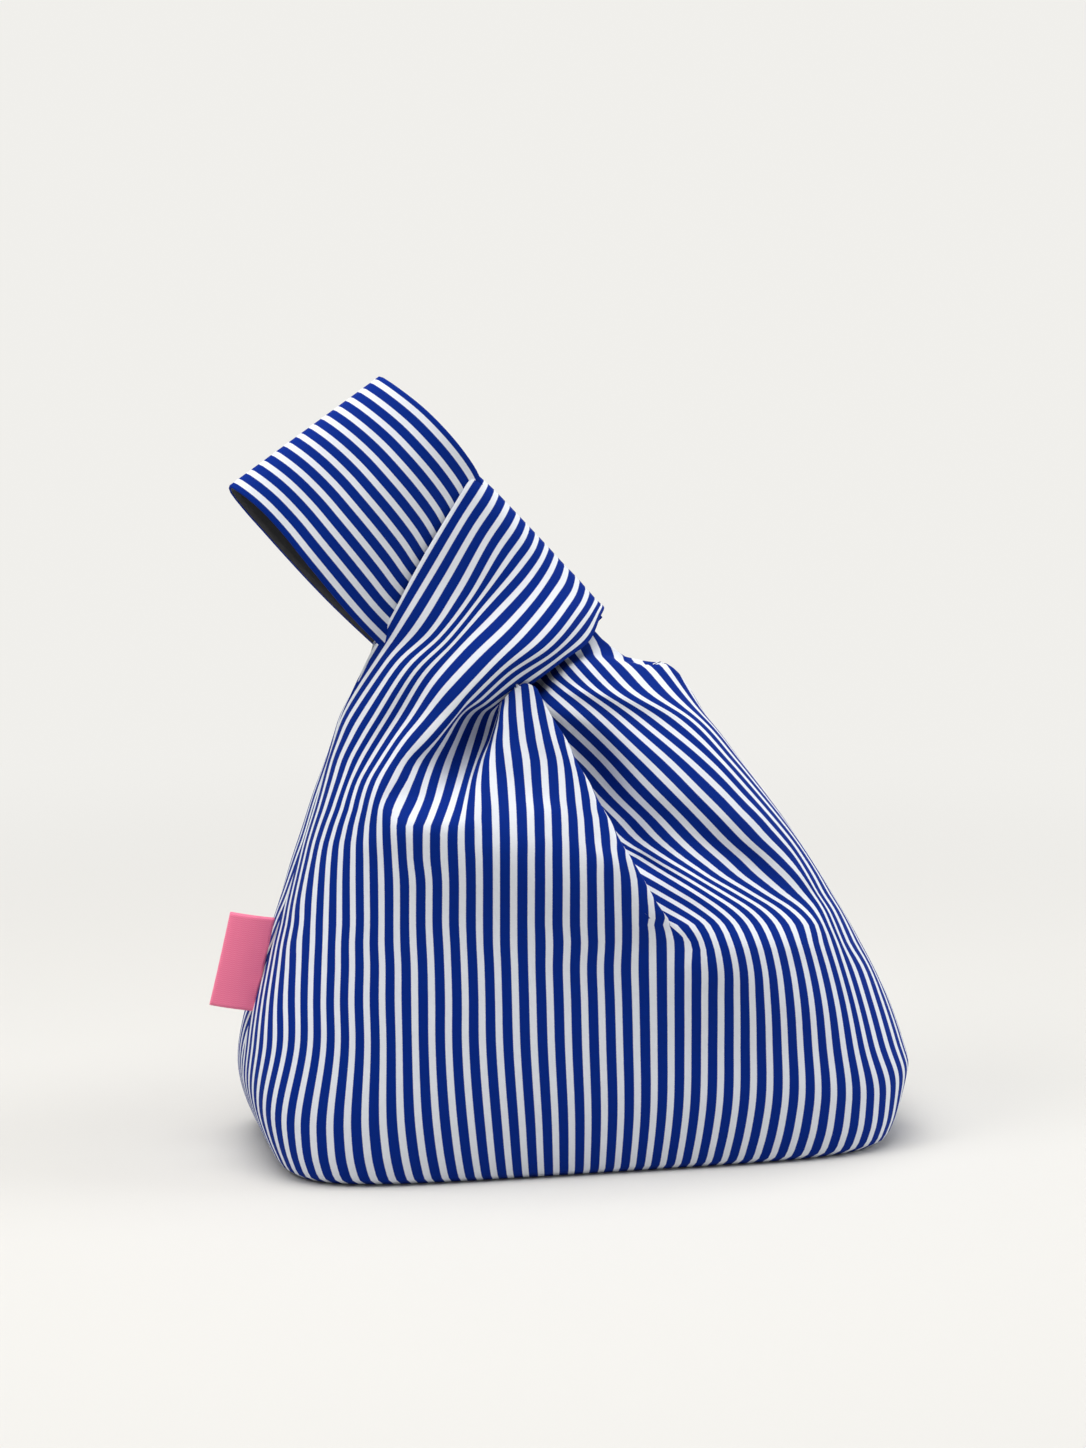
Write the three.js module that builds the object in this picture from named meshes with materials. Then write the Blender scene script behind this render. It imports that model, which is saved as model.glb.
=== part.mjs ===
// Japanese knot bag: a lined, wadded cloth bag with a boxed base, a short handle and a long one.
// The long handle is drawn through the short one, which closes the mouth and leaves a loop for the wrist.
// Millimetres, +Z up, the front towards -Y. The bag stands on z = 0.
import * as THREE from "three";

// Body: outlines at five heights, each a rounded rectangle of this length and depth
const BASE_LENGTH = 224;
const BASE_DEPTH = 107;
const TOE_LENGTH = 235;
const TOE_DEPTH = 115;
const TOE_HEIGHT = 7;
const BELLY_LENGTH = 247;
const BELLY_DEPTH = 118;
const BELLY_HEIGHT = 38;
const SHOULDER_LENGTH = 198;
const SHOULDER_DEPTH = 98;
const SHOULDER_HEIGHT = 100;
const MOUTH_LENGTH = 122;
const MOUTH_DEPTH = 48;
const MOUTH_HEIGHT = 174;
// How far the knot has drawn the belly, the shoulder and the mouth towards the left
const BELLY_SHIFT = -0.5;
const SHOULDER_SHIFT = -7;
const MOUTH_SHIFT = -22;
// Squareness of the outlines: 2 is an ellipse, higher is nearer a rectangle
const BASE_SQUARENESS = 5;
const BELLY_SQUARENESS = 3.4;
const SHOULDER_SQUARENESS = 2.8;
const MOUTH_SQUARENESS = 2.2;

// Folds of the front, each along a straight line from one [x, z] to another. The rear has the same.
// Swell: the wall is full up to the folds, and slopes back above it.
const SWELL_LEFT = [-70, 118];
const SWELL_RIGHT = [55, 82];
const SWELL_HEIGHT = 6.5;
const SWELL_WIDTH = 24;
// Tent: a ridge from the knot down to the right, and the pleat that goes in beside it
const TENT_TOP = [-22, 172];
const TENT_FOOT = [26, 92];
const TENT_HEIGHT = 5;
const TENT_WIDTH = 10;
const PLEAT_OFFSET = 15;
const PLEAT_DEPTH = 9;
const PLEAT_WIDTH = 10;
// Hollow under the short handle
const HOLLOW_TOP = [-42, 162];
const HOLLOW_FOOT = [-56, 138];
const HOLLOW_DEPTH = 7;
const HOLLOW_WIDTH = 10;
// Shelf across the right half, with the edge below it
const SHELF_LEFT = [36, 100];
const SHELF_RIGHT = [72, 100];
const SHELF_DEPTH = 5;
const SHELF_WIDTH = 9;
const SHELF_DROP = 16;
const SHELF_EDGE_HEIGHT = 3;
// How far below the mouth, and what share of the front from each side seam, the folds have died away
const FOLD_FADE_HEIGHT = 16;
const FOLD_FADE_SHARE = 0.14;

// Plies of cloth and the air between them
const CLOTH = 0.9;
const WADDING = 1.0;
const LINING = 0.7;
const PLY_GAP = 0.3;
const SEAM_GAP = 0.3;
const SEAM_ALLOWANCE = 9;
const SEAM_SHARE = 0.7;
const BASE_SIDE_GAP = 0.4;

// Knot: where the two handles cross, and how steeply the long one leans
const KNOT_X = -35;
const KNOT_Z = 200;
const HANDLE_LEAN = 43;
const HANDLE_WIDTH = 72;

// Short handle: a band across the front, round its fold and back across the rear
const NECKLINE_GAP = 28;
const COLLAR_CLEARANCE = 0.6;
const COLLAR_FOLD_REACH = 34.5;
const COLLAR_UPPER_EDGE = 38;
const COLLAR_UPPER_ROOT = 22;
const COLLAR_LOWER_EDGE = -31;
const COLLAR_ROOT_RISE = 3;
const COLLAR_LOWER_RISE = 6;
const COLLAR_LOWER_RUN = 9;
const COLLAR_STAND_OFF = 16;

// Long handle: a strap under the short handle, and the loop beyond it
const STRAP_HALF_DEPTH = 5;
const STRAP_EDGE_DEPTH = 2.4;
const STRAP_START = -10;
const PINCH = 44;
const PINCH_GAP = 0.8;
const PINCH_HALF_DEPTH = 2.4;
const PINCH_BEVEL = 32;
const LOOP_REACH = 93.5;
const LOOP_SKEW = 0.2;
const LOOP_GAP = 24;
const LOOP_TWIST = 21;
const STRAP_ROOT_RISE = 4;
const STRAP_ROOT_RUN = 4;
const STRAP_ROOT_LEAN = 2;
const STRAP_TUCK = 10;
const STRAP_TUCK_DEPTH = 2;
const ARMHOLE_TUCK = 3;
const ARMHOLE_TUCK_DEPTH = 0.8;
const ARMHOLE_SPREAD = 2.8;
const ARMHOLE_GAP = 18;
const ARMHOLE_SAG = 12;

// Woven label folded in half and sewn into the left side seam
const LABEL_LENGTH = 34;
const LABEL_REACH = 15.5;
const LABEL_PLY = 0.6;
const LABEL_FOLD_GAP = 0.4;
const LABEL_HEIGHT = 69;
const LABEL_CLEARANCE = 0.4;

// Facets
const BODY_COLUMNS = 20;
const LOWER_ROWS = 4;
const UPPER_ROWS = 9;
const BAND_COLUMNS = 6;

const LINED_HANDLE = CLOTH + PLY_GAP + LINING;
const OUTER_PLY = [0, CLOTH];
const WADDING_PLY = [CLOTH + PLY_GAP, CLOTH + PLY_GAP + WADDING];
const BODY_LINING_PLY = [
  CLOTH + WADDING + 2 * PLY_GAP,
  CLOTH + WADDING + 2 * PLY_GAP + LINING,
];
const HANDLE_LINING_PLY = [CLOTH + PLY_GAP, LINED_HANDLE];

const striped = new THREE.MeshStandardMaterial({ color: 0x1a3f9c, roughness: 0.75, metalness: 0 });
const black = new THREE.MeshStandardMaterial({ color: 0x16161a, roughness: 0.6, metalness: 0 });
const fleece = new THREE.MeshStandardMaterial({ color: 0xe9e6dd, roughness: 0.95, metalness: 0 });
const pink = new THREE.MeshStandardMaterial({ color: 0xe0709c, roughness: 0.7, metalness: 0 });

const point = (x, y, z) => new THREE.Vector3(x, y, z);
const lerp = THREE.MathUtils.lerp;
const radians = THREE.MathUtils.degToRad;

// Smooth value through a list of numbers or vectors at equal steps, for t from 0 to 1.
function spline(list, t) {
  const spans = list.length - 1;
  const at = Math.min(Math.max(t, 0), 1) * spans;
  const i = Math.min(Math.floor(at), spans - 1);
  const f = at - i;
  const get = (k) => {
    if (k < 0) return mix(list[0], list[1], -1);
    if (k > spans) return mix(list[spans], list[spans - 1], -1);
    return list[k];
  };
  const weights = [
    -0.5 * f + f * f - 0.5 * f ** 3,
    1 - 2.5 * f * f + 1.5 * f ** 3,
    0.5 * f + 2 * f * f - 1.5 * f ** 3,
    -0.5 * f * f + 0.5 * f ** 3,
  ];
  if (typeof list[0] === "number")
    return weights.reduce((sum, w, k) => sum + w * get(i - 1 + k), 0);
  return weights.reduce((sum, w, k) => sum.addScaledVector(get(i - 1 + k), w), point(0, 0, 0));
}

function mix(a, b, t) {
  return typeof a === "number" ? a + (b - a) * t : a.clone().lerp(b, t);
}

// A sheet of cloth as quads on shared points, which becomes a solid ply of any depth below its face.
class Sheet {
  constructor() {
    this.points = [];
    this.quads = [];
    this.leans = new Map();
    this.squares = new Map();
    this.keptNormals = null;
  }

  index(p) {
    const found = this.points.findIndex((q) => q.distanceToSquared(p) < 1e-6);
    if (found >= 0) return found;
    this.points.push(p.clone());
    return this.points.length - 1;
  }

  // rows[j][i]: the face looks along (next column) x (next row).
  addGrid(rows) {
    const ids = rows.map((row) => row.map((p) => this.index(p)));
    for (let j = 0; j + 1 < ids.length; j++)
      for (let i = 0; i + 1 < ids[j].length; i++)
        this.quads.push([ids[j][i], ids[j][i + 1], ids[j + 1][i + 1], ids[j + 1][i]]);
    return ids;
  }

  // Tilts the edge of these points towards a direction, so that the edge is cut on a slant.
  lean(ids, direction) {
    for (const id of ids) this.leans.set(id, direction);
  }

  // Cuts the edge of these points square to an axis, so that it can butt against its neighbour.
  square(ids, axis) {
    for (const id of ids) this.squares.set(id, [...(this.squares.get(id) ?? []), axis]);
  }

  mirrored() {
    const other = new Sheet();
    other.points = this.points.map((p) => point(p.x, -p.y, p.z));
    other.quads = this.quads.map((q) => [...q].reverse());
    other.keptNormals = this.normals().map((n) => point(n.x, -n.y, n.z));
    return other;
  }

  // The same sheet with only some of its quads.
  cut(keep) {
    const other = new Sheet();
    other.points = this.points;
    other.quads = this.quads.filter((_, k) => keep(k));
    other.keptNormals = this.normals();
    return other;
  }

  normals() {
    if (this.keptNormals) return this.keptNormals;
    const sums = this.points.map(() => point(0, 0, 0));
    for (const [a, b, c, d] of this.quads) {
      const [p, q, r, s] = [a, b, c, d].map((k) => this.points[k]);
      const n = r.clone().sub(p).cross(s.clone().sub(q));
      for (const k of [a, b, c, d]) sums[k].add(n);
    }
    sums.forEach((n, k) => {
      for (const axis of this.squares.get(k) ?? []) n.addScaledVector(axis, -n.dot(axis));
      n.normalize();
      if (this.leans.has(k)) n.add(this.leans.get(k));
    });
    return sums;
  }

  // The closed solid between two depths below the face.
  solid([from, to]) {
    const normals = this.normals();
    const used = [...new Set(this.quads.flat())];
    const place = new Map(used.map((k, i) => [k, i]));
    const count = used.length;
    const vertices = [];
    for (const depth of [from, to])
      for (const k of used) vertices.push(this.points[k].clone().addScaledVector(normals[k], -depth));
    const triangles = [];
    const quad = (a, b, c, d) => triangles.push(a, b, c, a, c, d);
    const edges = new Map();
    // Each quad is split between the two corners that face most alike, so that a fold keeps its line.
    const alike = (a, b) => normals[a].dot(normals[b]);
    for (const [k, l, m, n] of this.quads) {
      const corners = alike(k, m) >= alike(l, n) ? [k, l, m, n] : [l, m, n, k];
      const [a, b, c, d] = corners.map((id) => place.get(id));
      quad(a, b, c, d);
      triangles.push(a + count, c + count, b + count, a + count, d + count, c + count);
      for (const [e, f] of [[a, b], [b, c], [c, d], [d, a]]) {
        if (edges.has(`${f},${e}`)) edges.delete(`${f},${e}`);
        else edges.set(`${e},${f}`, [e, f]);
      }
    }
    for (const [e, f] of edges.values()) quad(f, e, e + count, f + count);
    const geometry = new THREE.BufferGeometry();
    const flat = vertices.flatMap((v) => [v.x, v.y, v.z]);
    geometry.setAttribute("position", new THREE.Float32BufferAttribute(flat, 3));
    geometry.setIndex(triangles);
    geometry.computeVertexNormals();
    return geometry;
  }
}

function grid(columns, rows, at) {
  return Array.from({ length: rows + 1 }, (_, j) =>
    Array.from({ length: columns + 1 }, (_, i) => at(i / columns, j / rows)),
  );
}

function addPart(group, name, geometry, material) {
  const mesh = new THREE.Mesh(geometry, material);
  mesh.name = name;
  group.add(mesh);
  return mesh;
}

// Body outlines
const OUTLINES = [
  { z: 0, shift: 0, length: BASE_LENGTH, depth: BASE_DEPTH, square: BASE_SQUARENESS },
  { z: TOE_HEIGHT, shift: 0, length: TOE_LENGTH, depth: TOE_DEPTH, square: BASE_SQUARENESS },
  {
    z: BELLY_HEIGHT,
    shift: BELLY_SHIFT,
    length: BELLY_LENGTH,
    depth: BELLY_DEPTH,
    square: BELLY_SQUARENESS,
  },
  {
    z: SHOULDER_HEIGHT,
    shift: SHOULDER_SHIFT,
    length: SHOULDER_LENGTH,
    depth: SHOULDER_DEPTH,
    square: SHOULDER_SQUARENESS,
  },
  {
    z: MOUTH_HEIGHT,
    shift: MOUTH_SHIFT,
    length: MOUTH_LENGTH,
    depth: MOUTH_DEPTH,
    square: MOUTH_SQUARENESS,
  },
];

// The outline at share v of the way from the base to the mouth.
function outline(v) {
  const made = {};
  for (const key of Object.keys(OUTLINES[0]))
    made[key] = spline(OUTLINES.map((o) => o[key]), v);
  return made;
}

// A point of an outline in the direction of angle a, which is 0 at the right and 90 degrees at the front.
function onOutline(o, a) {
  const [c, s] = [Math.cos(a), Math.sin(a)];
  const r = (Math.abs(c) ** o.square + Math.abs(s) ** o.square) ** (-1 / o.square);
  return point(o.shift + (o.length / 2) * r * c, (-o.depth / 2) * r * s, o.z);
}

// Angles that step evenly along the belly's front half, from the left seam to the right one.
const BELLY_ANGLES = (() => {
  const belly = outline(2 / (OUTLINES.length - 1));
  const fine = 720;
  const angles = Array.from({ length: fine + 1 }, (_, k) => Math.PI * (1 - k / fine));
  const run = [0];
  for (let k = 1; k <= fine; k++)
    run.push(run[k - 1] + onOutline(belly, angles[k]).distanceTo(onOutline(belly, angles[k - 1])));
  return (u) => {
    const goal = u * run[fine];
    const k = Math.max(1, run.findIndex((x) => x >= goal - 1e-9));
    return lerp(angles[k - 1], angles[k], (goal - run[k - 1]) / (run[k] - run[k - 1]));
  };
})();

const FRONT_RUN = (() => {
  const belly = outline(2 / (OUTLINES.length - 1));
  const steps = 200;
  let run = 0;
  for (let k = 0; k < steps; k++)
    run += onOutline(belly, BELLY_ANGLES(k / steps)).distanceTo(
      onOutline(belly, BELLY_ANGLES((k + 1) / steps)),
    );
  return run;
})();

const ALLOWANCE = SEAM_ALLOWANCE / FRONT_RUN;
const ALLOWANCE_EDGE = (SEAM_ALLOWANCE + SEAM_GAP) / FRONT_RUN;

// A rounded crease along a line: how far it stands out of the wall at x and z.
function crease([x0, z0], [x1, z1], height, width) {
  const start = new THREE.Vector2(x0, z0);
  const way = new THREE.Vector2(x1 - x0, z1 - z0);
  return (x, z) => {
    const off = new THREE.Vector2(x, z).sub(start);
    const along = THREE.MathUtils.clamp(off.dot(way) / way.lengthSq(), 0, 1);
    return height * Math.exp(-off.addScaledVector(way, -along).lengthSq() / width ** 2);
  };
}
const beside = ([x, z]) => [x + PLEAT_OFFSET, z];
const below = ([x, z]) => [x, z - SHELF_DROP];
const FOLDS = [
  crease(SWELL_LEFT, SWELL_RIGHT, SWELL_HEIGHT, SWELL_WIDTH),
  crease(TENT_TOP, TENT_FOOT, TENT_HEIGHT, TENT_WIDTH),
  crease(beside(TENT_TOP), beside(TENT_FOOT), -PLEAT_DEPTH, PLEAT_WIDTH),
  crease(HOLLOW_TOP, HOLLOW_FOOT, -HOLLOW_DEPTH, HOLLOW_WIDTH),
  crease(SHELF_LEFT, SHELF_RIGHT, -SHELF_DEPTH, SHELF_WIDTH),
  crease(below(SHELF_LEFT), below(SHELF_RIGHT), SHELF_EDGE_HEIGHT, SHELF_WIDTH),
];

// How far the folds stand out of the wall. They die away towards the mouth and the side seams.
function foldHeight(p, u) {
  const { smoothstep } = THREE.MathUtils;
  const side = smoothstep(Math.min(u, 1 - u), ALLOWANCE_EDGE, FOLD_FADE_SHARE);
  const top = smoothstep(MOUTH_HEIGHT - p.z, 0, FOLD_FADE_HEIGHT);
  return side * top * FOLDS.reduce((sum, fold) => sum + fold(p.x, p.z), 0);
}

// A point on the body's face: u from the left seam (0) round the front to the right seam (1), v up the wall.
// u below 0 or above 1 goes on round the rear.
function onBody(u, v) {
  if (u < 0 || u > 1) {
    const p = onBody(u < 0 ? -u : 2 - u, v);
    return point(p.x, -p.y, p.z);
  }
  const p = onOutline(outline(v), BELLY_ANGLES(u));
  p.y -= foldHeight(p, u);
  return p;
}

// Shares of the front at which the wall has a column: seam, both edges of the seam allowance, even steps.
const COLUMNS = [
  0,
  ALLOWANCE,
  ...Array.from({ length: BODY_COLUMNS + 1 }, (_, i) =>
    lerp(ALLOWANCE_EDGE, 1 - ALLOWANCE_EDGE, i / BODY_COLUMNS),
  ),
  1 - ALLOWANCE,
  1,
];
// Shares of the height at which the wall has a row. One is where the belly is widest.
const BODY_ROWS = LOWER_ROWS + UPPER_ROWS;
const WIDEST_SHARE = 4 / 9;
function rowShare(j) {
  if (j < LOWER_ROWS) return (WIDEST_SHARE * j) / LOWER_ROWS;
  return lerp(WIDEST_SHARE, 1, (j - LOWER_ROWS) / UPPER_ROWS);
}

// The front wall and its half of the boxed base, whose side edges close up to the wall's foot.
function panelSheet() {
  const sheet = new Sheet();
  const wall = Array.from({ length: BODY_ROWS + 1 }, (_, j) =>
    COLUMNS.map((u) => {
      const p = onBody(u, rowShare(j));
      p.y = Math.min(p.y, -SEAM_GAP / 2);
      return p;
    }),
  );
  const wallIds = sheet.addGrid(wall);
  const first = wall[0].findIndex((p) => p.y < -BASE_DEPTH / 3 - SEAM_ALLOWANCE);
  const front = wall[0].slice(first, wall[0].length - first);
  const reach = Math.abs(front[0].x);
  const ruled = wall[0].slice(0, first).map((foot) => {
    const side = Math.abs(foot.x) - BASE_SIDE_GAP;
    return front.map((p) => point((p.x * side) / reach, foot.y, 0));
  });
  const baseIds = sheet.addGrid([...ruled, front]);
  sheet.baseSpans = front.length - 1;
  sheet.square(wallIds.slice(1).flatMap((row) => [row[0], row[row.length - 1]]), point(0, 1, 0));
  sheet.square(wallIds[BODY_ROWS], point(0, 0, 1));
  sheet.square([...wallIds[0], ...baseIds.flat()], point(1, 0, 0));
  sheet.square([...wallIds[0], ...baseIds.flat()], point(0, 1, 0));
  return sheet;
}

const bag = new THREE.Group();
const body = new THREE.Group();
bag.add(body);

const frontSheet = panelSheet();
const backSheet = frontSheet.mirrored();
// Wadding is cut away along the side seams and the base seam.
const WALL_SPANS = COLUMNS.length - 1;
const WALL_QUADS = WALL_SPANS * BODY_ROWS;
const clearOfSeams = (k) => {
  if (k >= WALL_QUADS) return k >= WALL_QUADS + 2 * frontSheet.baseSpans;
  const column = k % WALL_SPANS;
  return column > 1 && column < WALL_SPANS - 2;
};
for (const [side, sheet] of [["front", frontSheet], ["back", backSheet]]) {
  addPart(body, `outer_${side}_panel`, sheet.solid(OUTER_PLY), striped);
  addPart(body, `wadding_${side}`, sheet.cut(clearOfSeams).solid(WADDING_PLY), fleece);
  addPart(body, `lining_${side}_panel`, sheet.solid(BODY_LINING_PLY), black);
}

// Seam allowances, pressed open between the outer cloth and the lining
function sideSeam(middle) {
  const sheet = new Sheet();
  const half = ALLOWANCE * SEAM_SHARE;
  const rows = Array.from({ length: BODY_ROWS }, (_, j) =>
    [-half, 0, half].map((du) => onBody(middle + du, rowShare(j + 1))),
  );
  const ids = sheet.addGrid(rows);
  sheet.square(ids[ids.length - 1], point(0, 0, 1));
  return sheet.solid(WADDING_PLY);
}
addPart(body, "left_side_seam", sideSeam(0), striped);
addPart(body, "right_side_seam", sideSeam(1), striped);
const baseSeam = new Sheet();
const baseSeamHalf = BASE_LENGTH / 2 - 2 * CLOTH;
const baseSeamWidth = Math.abs(onBody(ALLOWANCE, 0).y);
baseSeam.addGrid(
  [baseSeamWidth, -baseSeamWidth].map((y) => [
    point(-baseSeamHalf, y, 0),
    point(baseSeamHalf, y, 0),
  ]),
);
addPart(body, "base_seam", baseSeam.solid(WADDING_PLY), striped);

// The knot's own frame: x across the long handle, y along it towards the loop, z towards the front.
const knotLean = new THREE.Group();
knotLean.position.set(KNOT_X, 0, KNOT_Z);
knotLean.rotation.y = -radians(HANDLE_LEAN);
const knot = new THREE.Group();
knot.rotation.x = Math.PI / 2;
knotLean.add(knot);
bag.add(knotLean);
bag.updateMatrixWorld(true);
const toKnot = (p) => knot.worldToLocal(p.clone());

// The mouth's front edge, a seam's gap above the panel.
function mouthEdge(u) {
  const p = onBody(u, 1);
  p.y = Math.min(p.y, -SEAM_GAP / 2);
  p.z += SEAM_GAP;
  return toKnot(p);
}
const mouthShare = (x) => {
  let u = 0;
  while (u < 1 && onBody(u, 1).x < x) u += 1e-3;
  return u;
};

// A band of cloth through rows of points, as a sheet in the knot's frame. turned is true for its rear half.
function bandSheet(rows, steps, turned) {
  const sheet = new Sheet();
  const made = grid(BAND_COLUMNS, steps, (s, t) => {
    const p = spline(rows.map((row) => spline(row, s)), t);
    return turned ? point(p.x, p.y, -p.z) : p;
  });
  sheet.rows = sheet.addGrid(turned ? made.map((row) => [...row].reverse()) : made);
  return sheet;
}
const UP = point(Math.sin(radians(HANDLE_LEAN)), Math.cos(radians(HANDLE_LEAN)), 0);
const ASIDE = point(Math.cos(radians(HANDLE_LEAN)), -Math.sin(radians(HANDLE_LEAN)), 0);
// The mouth's front edge between two shares, and the same edge a little way up the handle.
const EDGE_SHARES = [0, 0.25, 0.5, 0.75, 1];
function mouthRows(from, to, rise, run, inward) {
  const mouth = EDGE_SHARES.map((s) => mouthEdge(lerp(from, to, s)));
  const above = mouth.map((p) => p.clone().addScaledVector(UP, rise).addScaledVector(ASIDE, -run));
  for (const p of above) p.z = Math.max(p.z - inward, ARMHOLE_SPREAD);
  return [mouth, above];
}
const FORWARD = point(0, 0, 1);
const seamEnds = (sheet) =>
  sheet.points.map((_, k) => k).filter((k) => Math.abs(sheet.points[k].z) < SEAM_GAP);

// Short handle: rows from the mouth's left half to the fold, each from the armhole edge to the neckline edge
const COLLAR_DEPTH = STRAP_HALF_DEPTH + COLLAR_CLEARANCE + LINED_HANDLE;
const NECKLINE_LEFT = mouthShare(MOUTH_SHIFT - NECKLINE_GAP / 2);
const NECKLINE_RIGHT = mouthShare(MOUTH_SHIFT + NECKLINE_GAP / 2);

function collarRows() {
  const half = HANDLE_WIDTH / 2;
  const [mouth, above] = mouthRows(0, NECKLINE_LEFT, COLLAR_ROOT_RISE, 0, 0);
  const lowerRoot = mouth[mouth.length - 1]
    .clone()
    .addScaledVector(UP, COLLAR_LOWER_RISE)
    .addScaledVector(ASIDE, COLLAR_LOWER_RUN);
  const upper = (t) => lerp(COLLAR_UPPER_ROOT, COLLAR_UPPER_EDGE, t);
  const lower = (t) => lerp(lowerRoot.y, COLLAR_LOWER_EDGE, t);
  const across = (x, skew, t, standOff) => [
    point(x - skew, upper(t), COLLAR_DEPTH),
    point(x, (upper(t) + lower(t)) / 2, COLLAR_DEPTH + standOff / 3),
    point(x + skew, lower(t), COLLAR_DEPTH + standOff),
  ];
  const first = across(-half * 0.7, half * 0.25, 0, COLLAR_STAND_OFF);
  first[2].set(lowerRoot.x, lowerRoot.y, COLLAR_DEPTH + COLLAR_STAND_OFF);
  const foldRow = (x, depth) => [point(x, upper(1), depth), point(x, lower(1), depth)];
  return [
    mouth,
    above,
    first,
    across(0, half * 0.12, 0.5, COLLAR_STAND_OFF),
    across(half * 0.6, 0, 0.9, COLLAR_STAND_OFF / 2),
    across(COLLAR_FOLD_REACH - COLLAR_DEPTH * 0.9, 0, 1, COLLAR_STAND_OFF / 16),
    foldRow(COLLAR_FOLD_REACH - COLLAR_DEPTH * 0.22, COLLAR_DEPTH * 0.66),
    foldRow(COLLAR_FOLD_REACH, SEAM_GAP / 2),
  ];
}
const COLLAR_STEPS = 14;
const collarFront = bandSheet(collarRows(), COLLAR_STEPS, false);
const collarBack = bandSheet(collarRows(), COLLAR_STEPS, true);
for (const [side, sheet] of [["front", collarFront], ["back", collarBack]]) {
  sheet.square(sheet.rows[0], UP);
  sheet.square(seamEnds(sheet), FORWARD);
  addPart(knot, `short_handle_${side}`, sheet.solid(OUTER_PLY), striped);
  addPart(knot, `short_handle_lining_${side}`, sheet.solid(HANDLE_LINING_PLY), black);
}

// Long handle's root: from the mouth's right half, up and left to the strap under the short handle
const STRAP_LEFT = -HANDLE_WIDTH / 2;
const STRAP_RIGHT = COLLAR_FOLD_REACH - LINED_HANDLE - COLLAR_CLEARANCE - STRAP_EDGE_DEPTH / 2;
const strapRow = (y, depth, edgeDepth) => [
  point(STRAP_LEFT, y, depth),
  point((STRAP_LEFT + STRAP_RIGHT) / 2, y, depth),
  point(STRAP_RIGHT, y, edgeDepth),
];
function rootRows() {
  const [mouth, above] = mouthRows(NECKLINE_RIGHT, 1, STRAP_ROOT_RISE, STRAP_ROOT_RUN, STRAP_ROOT_LEAN);
  const strap = strapRow(STRAP_START - SEAM_GAP, STRAP_HALF_DEPTH, STRAP_EDGE_DEPTH);
  const middle = [0, 0.5, 1].map((s) => {
    const p = spline(mouth, s).lerp(spline(strap, s), lerp(0.5, 0.3, s));
    p.x -= s * ARMHOLE_SAG;
    p.z = lerp(p.z, ARMHOLE_GAP / 2, s);
    return p;
  });
  const below = [0, 0.5, 1].map((s) => {
    const p = spline(strap, s);
    p.y = lerp(p.y - STRAP_TUCK, COLLAR_LOWER_EDGE - ARMHOLE_TUCK, s);
    p.z += lerp(STRAP_TUCK_DEPTH, ARMHOLE_TUCK_DEPTH, s);
    return p;
  });
  return [mouth, above, middle, below, strap];
}
const ROOT_STEPS = 8;
for (const [side, turned] of [["front", false], ["back", true]]) {
  const sheet = bandSheet(rootRows(), ROOT_STEPS, turned);
  sheet.square(sheet.rows[0], UP);
  sheet.square(seamEnds(sheet), FORWARD);
  sheet.square(sheet.rows[ROOT_STEPS], point(0, 1, 0));
  addPart(knot, `long_handle_root_${side}`, sheet.solid(OUTER_PLY), striped);
  addPart(knot, `long_handle_root_lining_${side}`, sheet.solid(HANDLE_LINING_PLY), black);
}

// Strap under the short handle, which slides along y
const strap = new THREE.Group();
knot.add(strap);
const BEVEL_RUN = Math.tan(radians(PINCH_BEVEL));
const STRAP_END = PINCH - PINCH_GAP / 2 - BEVEL_RUN * LINED_HANDLE;
const LOOP_START = PINCH + PINCH_GAP / 2 + BEVEL_RUN * LINED_HANDLE;
const STRAP_STEPS = 5;
for (const [side, turned] of [["front", false], ["back", true]]) {
  const along = (t) => lerp(STRAP_START, STRAP_END, t);
  const rows = [
    strapRow(STRAP_START, STRAP_HALF_DEPTH, STRAP_EDGE_DEPTH),
    strapRow(along(0.4), STRAP_HALF_DEPTH, STRAP_EDGE_DEPTH),
    strapRow(along(0.75), lerp(PINCH_HALF_DEPTH, STRAP_HALF_DEPTH, 0.8), STRAP_EDGE_DEPTH),
    strapRow(STRAP_END, PINCH_HALF_DEPTH, PINCH_HALF_DEPTH),
  ];
  const sheet = bandSheet(rows, STRAP_STEPS, turned);
  for (const end of [0, STRAP_STEPS]) sheet.square(sheet.rows[end], point(0, 1, 0));
  sheet.lean(sheet.rows[STRAP_STEPS], point(0, -BEVEL_RUN, 0));
  addPart(strap, `long_handle_strap_${side}`, sheet.solid(OUTER_PLY), striped);
  addPart(strap, `long_handle_strap_lining_${side}`, sheet.solid(HANDLE_LINING_PLY), black);
}

// Loop: the strap's two halves part, twist towards the front and join round the bend
const loop = new THREE.Group();
strap.add(loop);
function onLoop(across, profile) {
  const flare = THREE.MathUtils.smoothstep(profile.along, 0, 1) * (HANDLE_WIDTH / 2 - STRAP_RIGHT);
  const x = lerp(STRAP_LEFT, STRAP_RIGHT + flare, across);
  const reach = LOOP_REACH - LOOP_SKEW * x;
  const y = lerp(LOOP_START, reach, profile.along);
  const turn = radians(LOOP_TWIST) * THREE.MathUtils.smoothstep(profile.along, 0, 1);
  return point(
    x * Math.cos(turn) + profile.depth * Math.sin(turn),
    y,
    profile.depth * Math.cos(turn) - x * Math.sin(turn),
  );
}
const LOOP_PROFILE = [
  { along: 0, depth: PINCH_HALF_DEPTH },
  { along: 0.25, depth: lerp(PINCH_HALF_DEPTH, LOOP_GAP / 2, 0.4) },
  { along: 0.52, depth: lerp(PINCH_HALF_DEPTH, LOOP_GAP / 2, 0.82) },
  { along: 0.78, depth: LOOP_GAP / 2 },
  { along: 0.94, depth: LOOP_GAP * 0.34 },
  { along: 1, depth: SEAM_GAP / 2 },
];
const LOOP_STEPS = 12;
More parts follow.
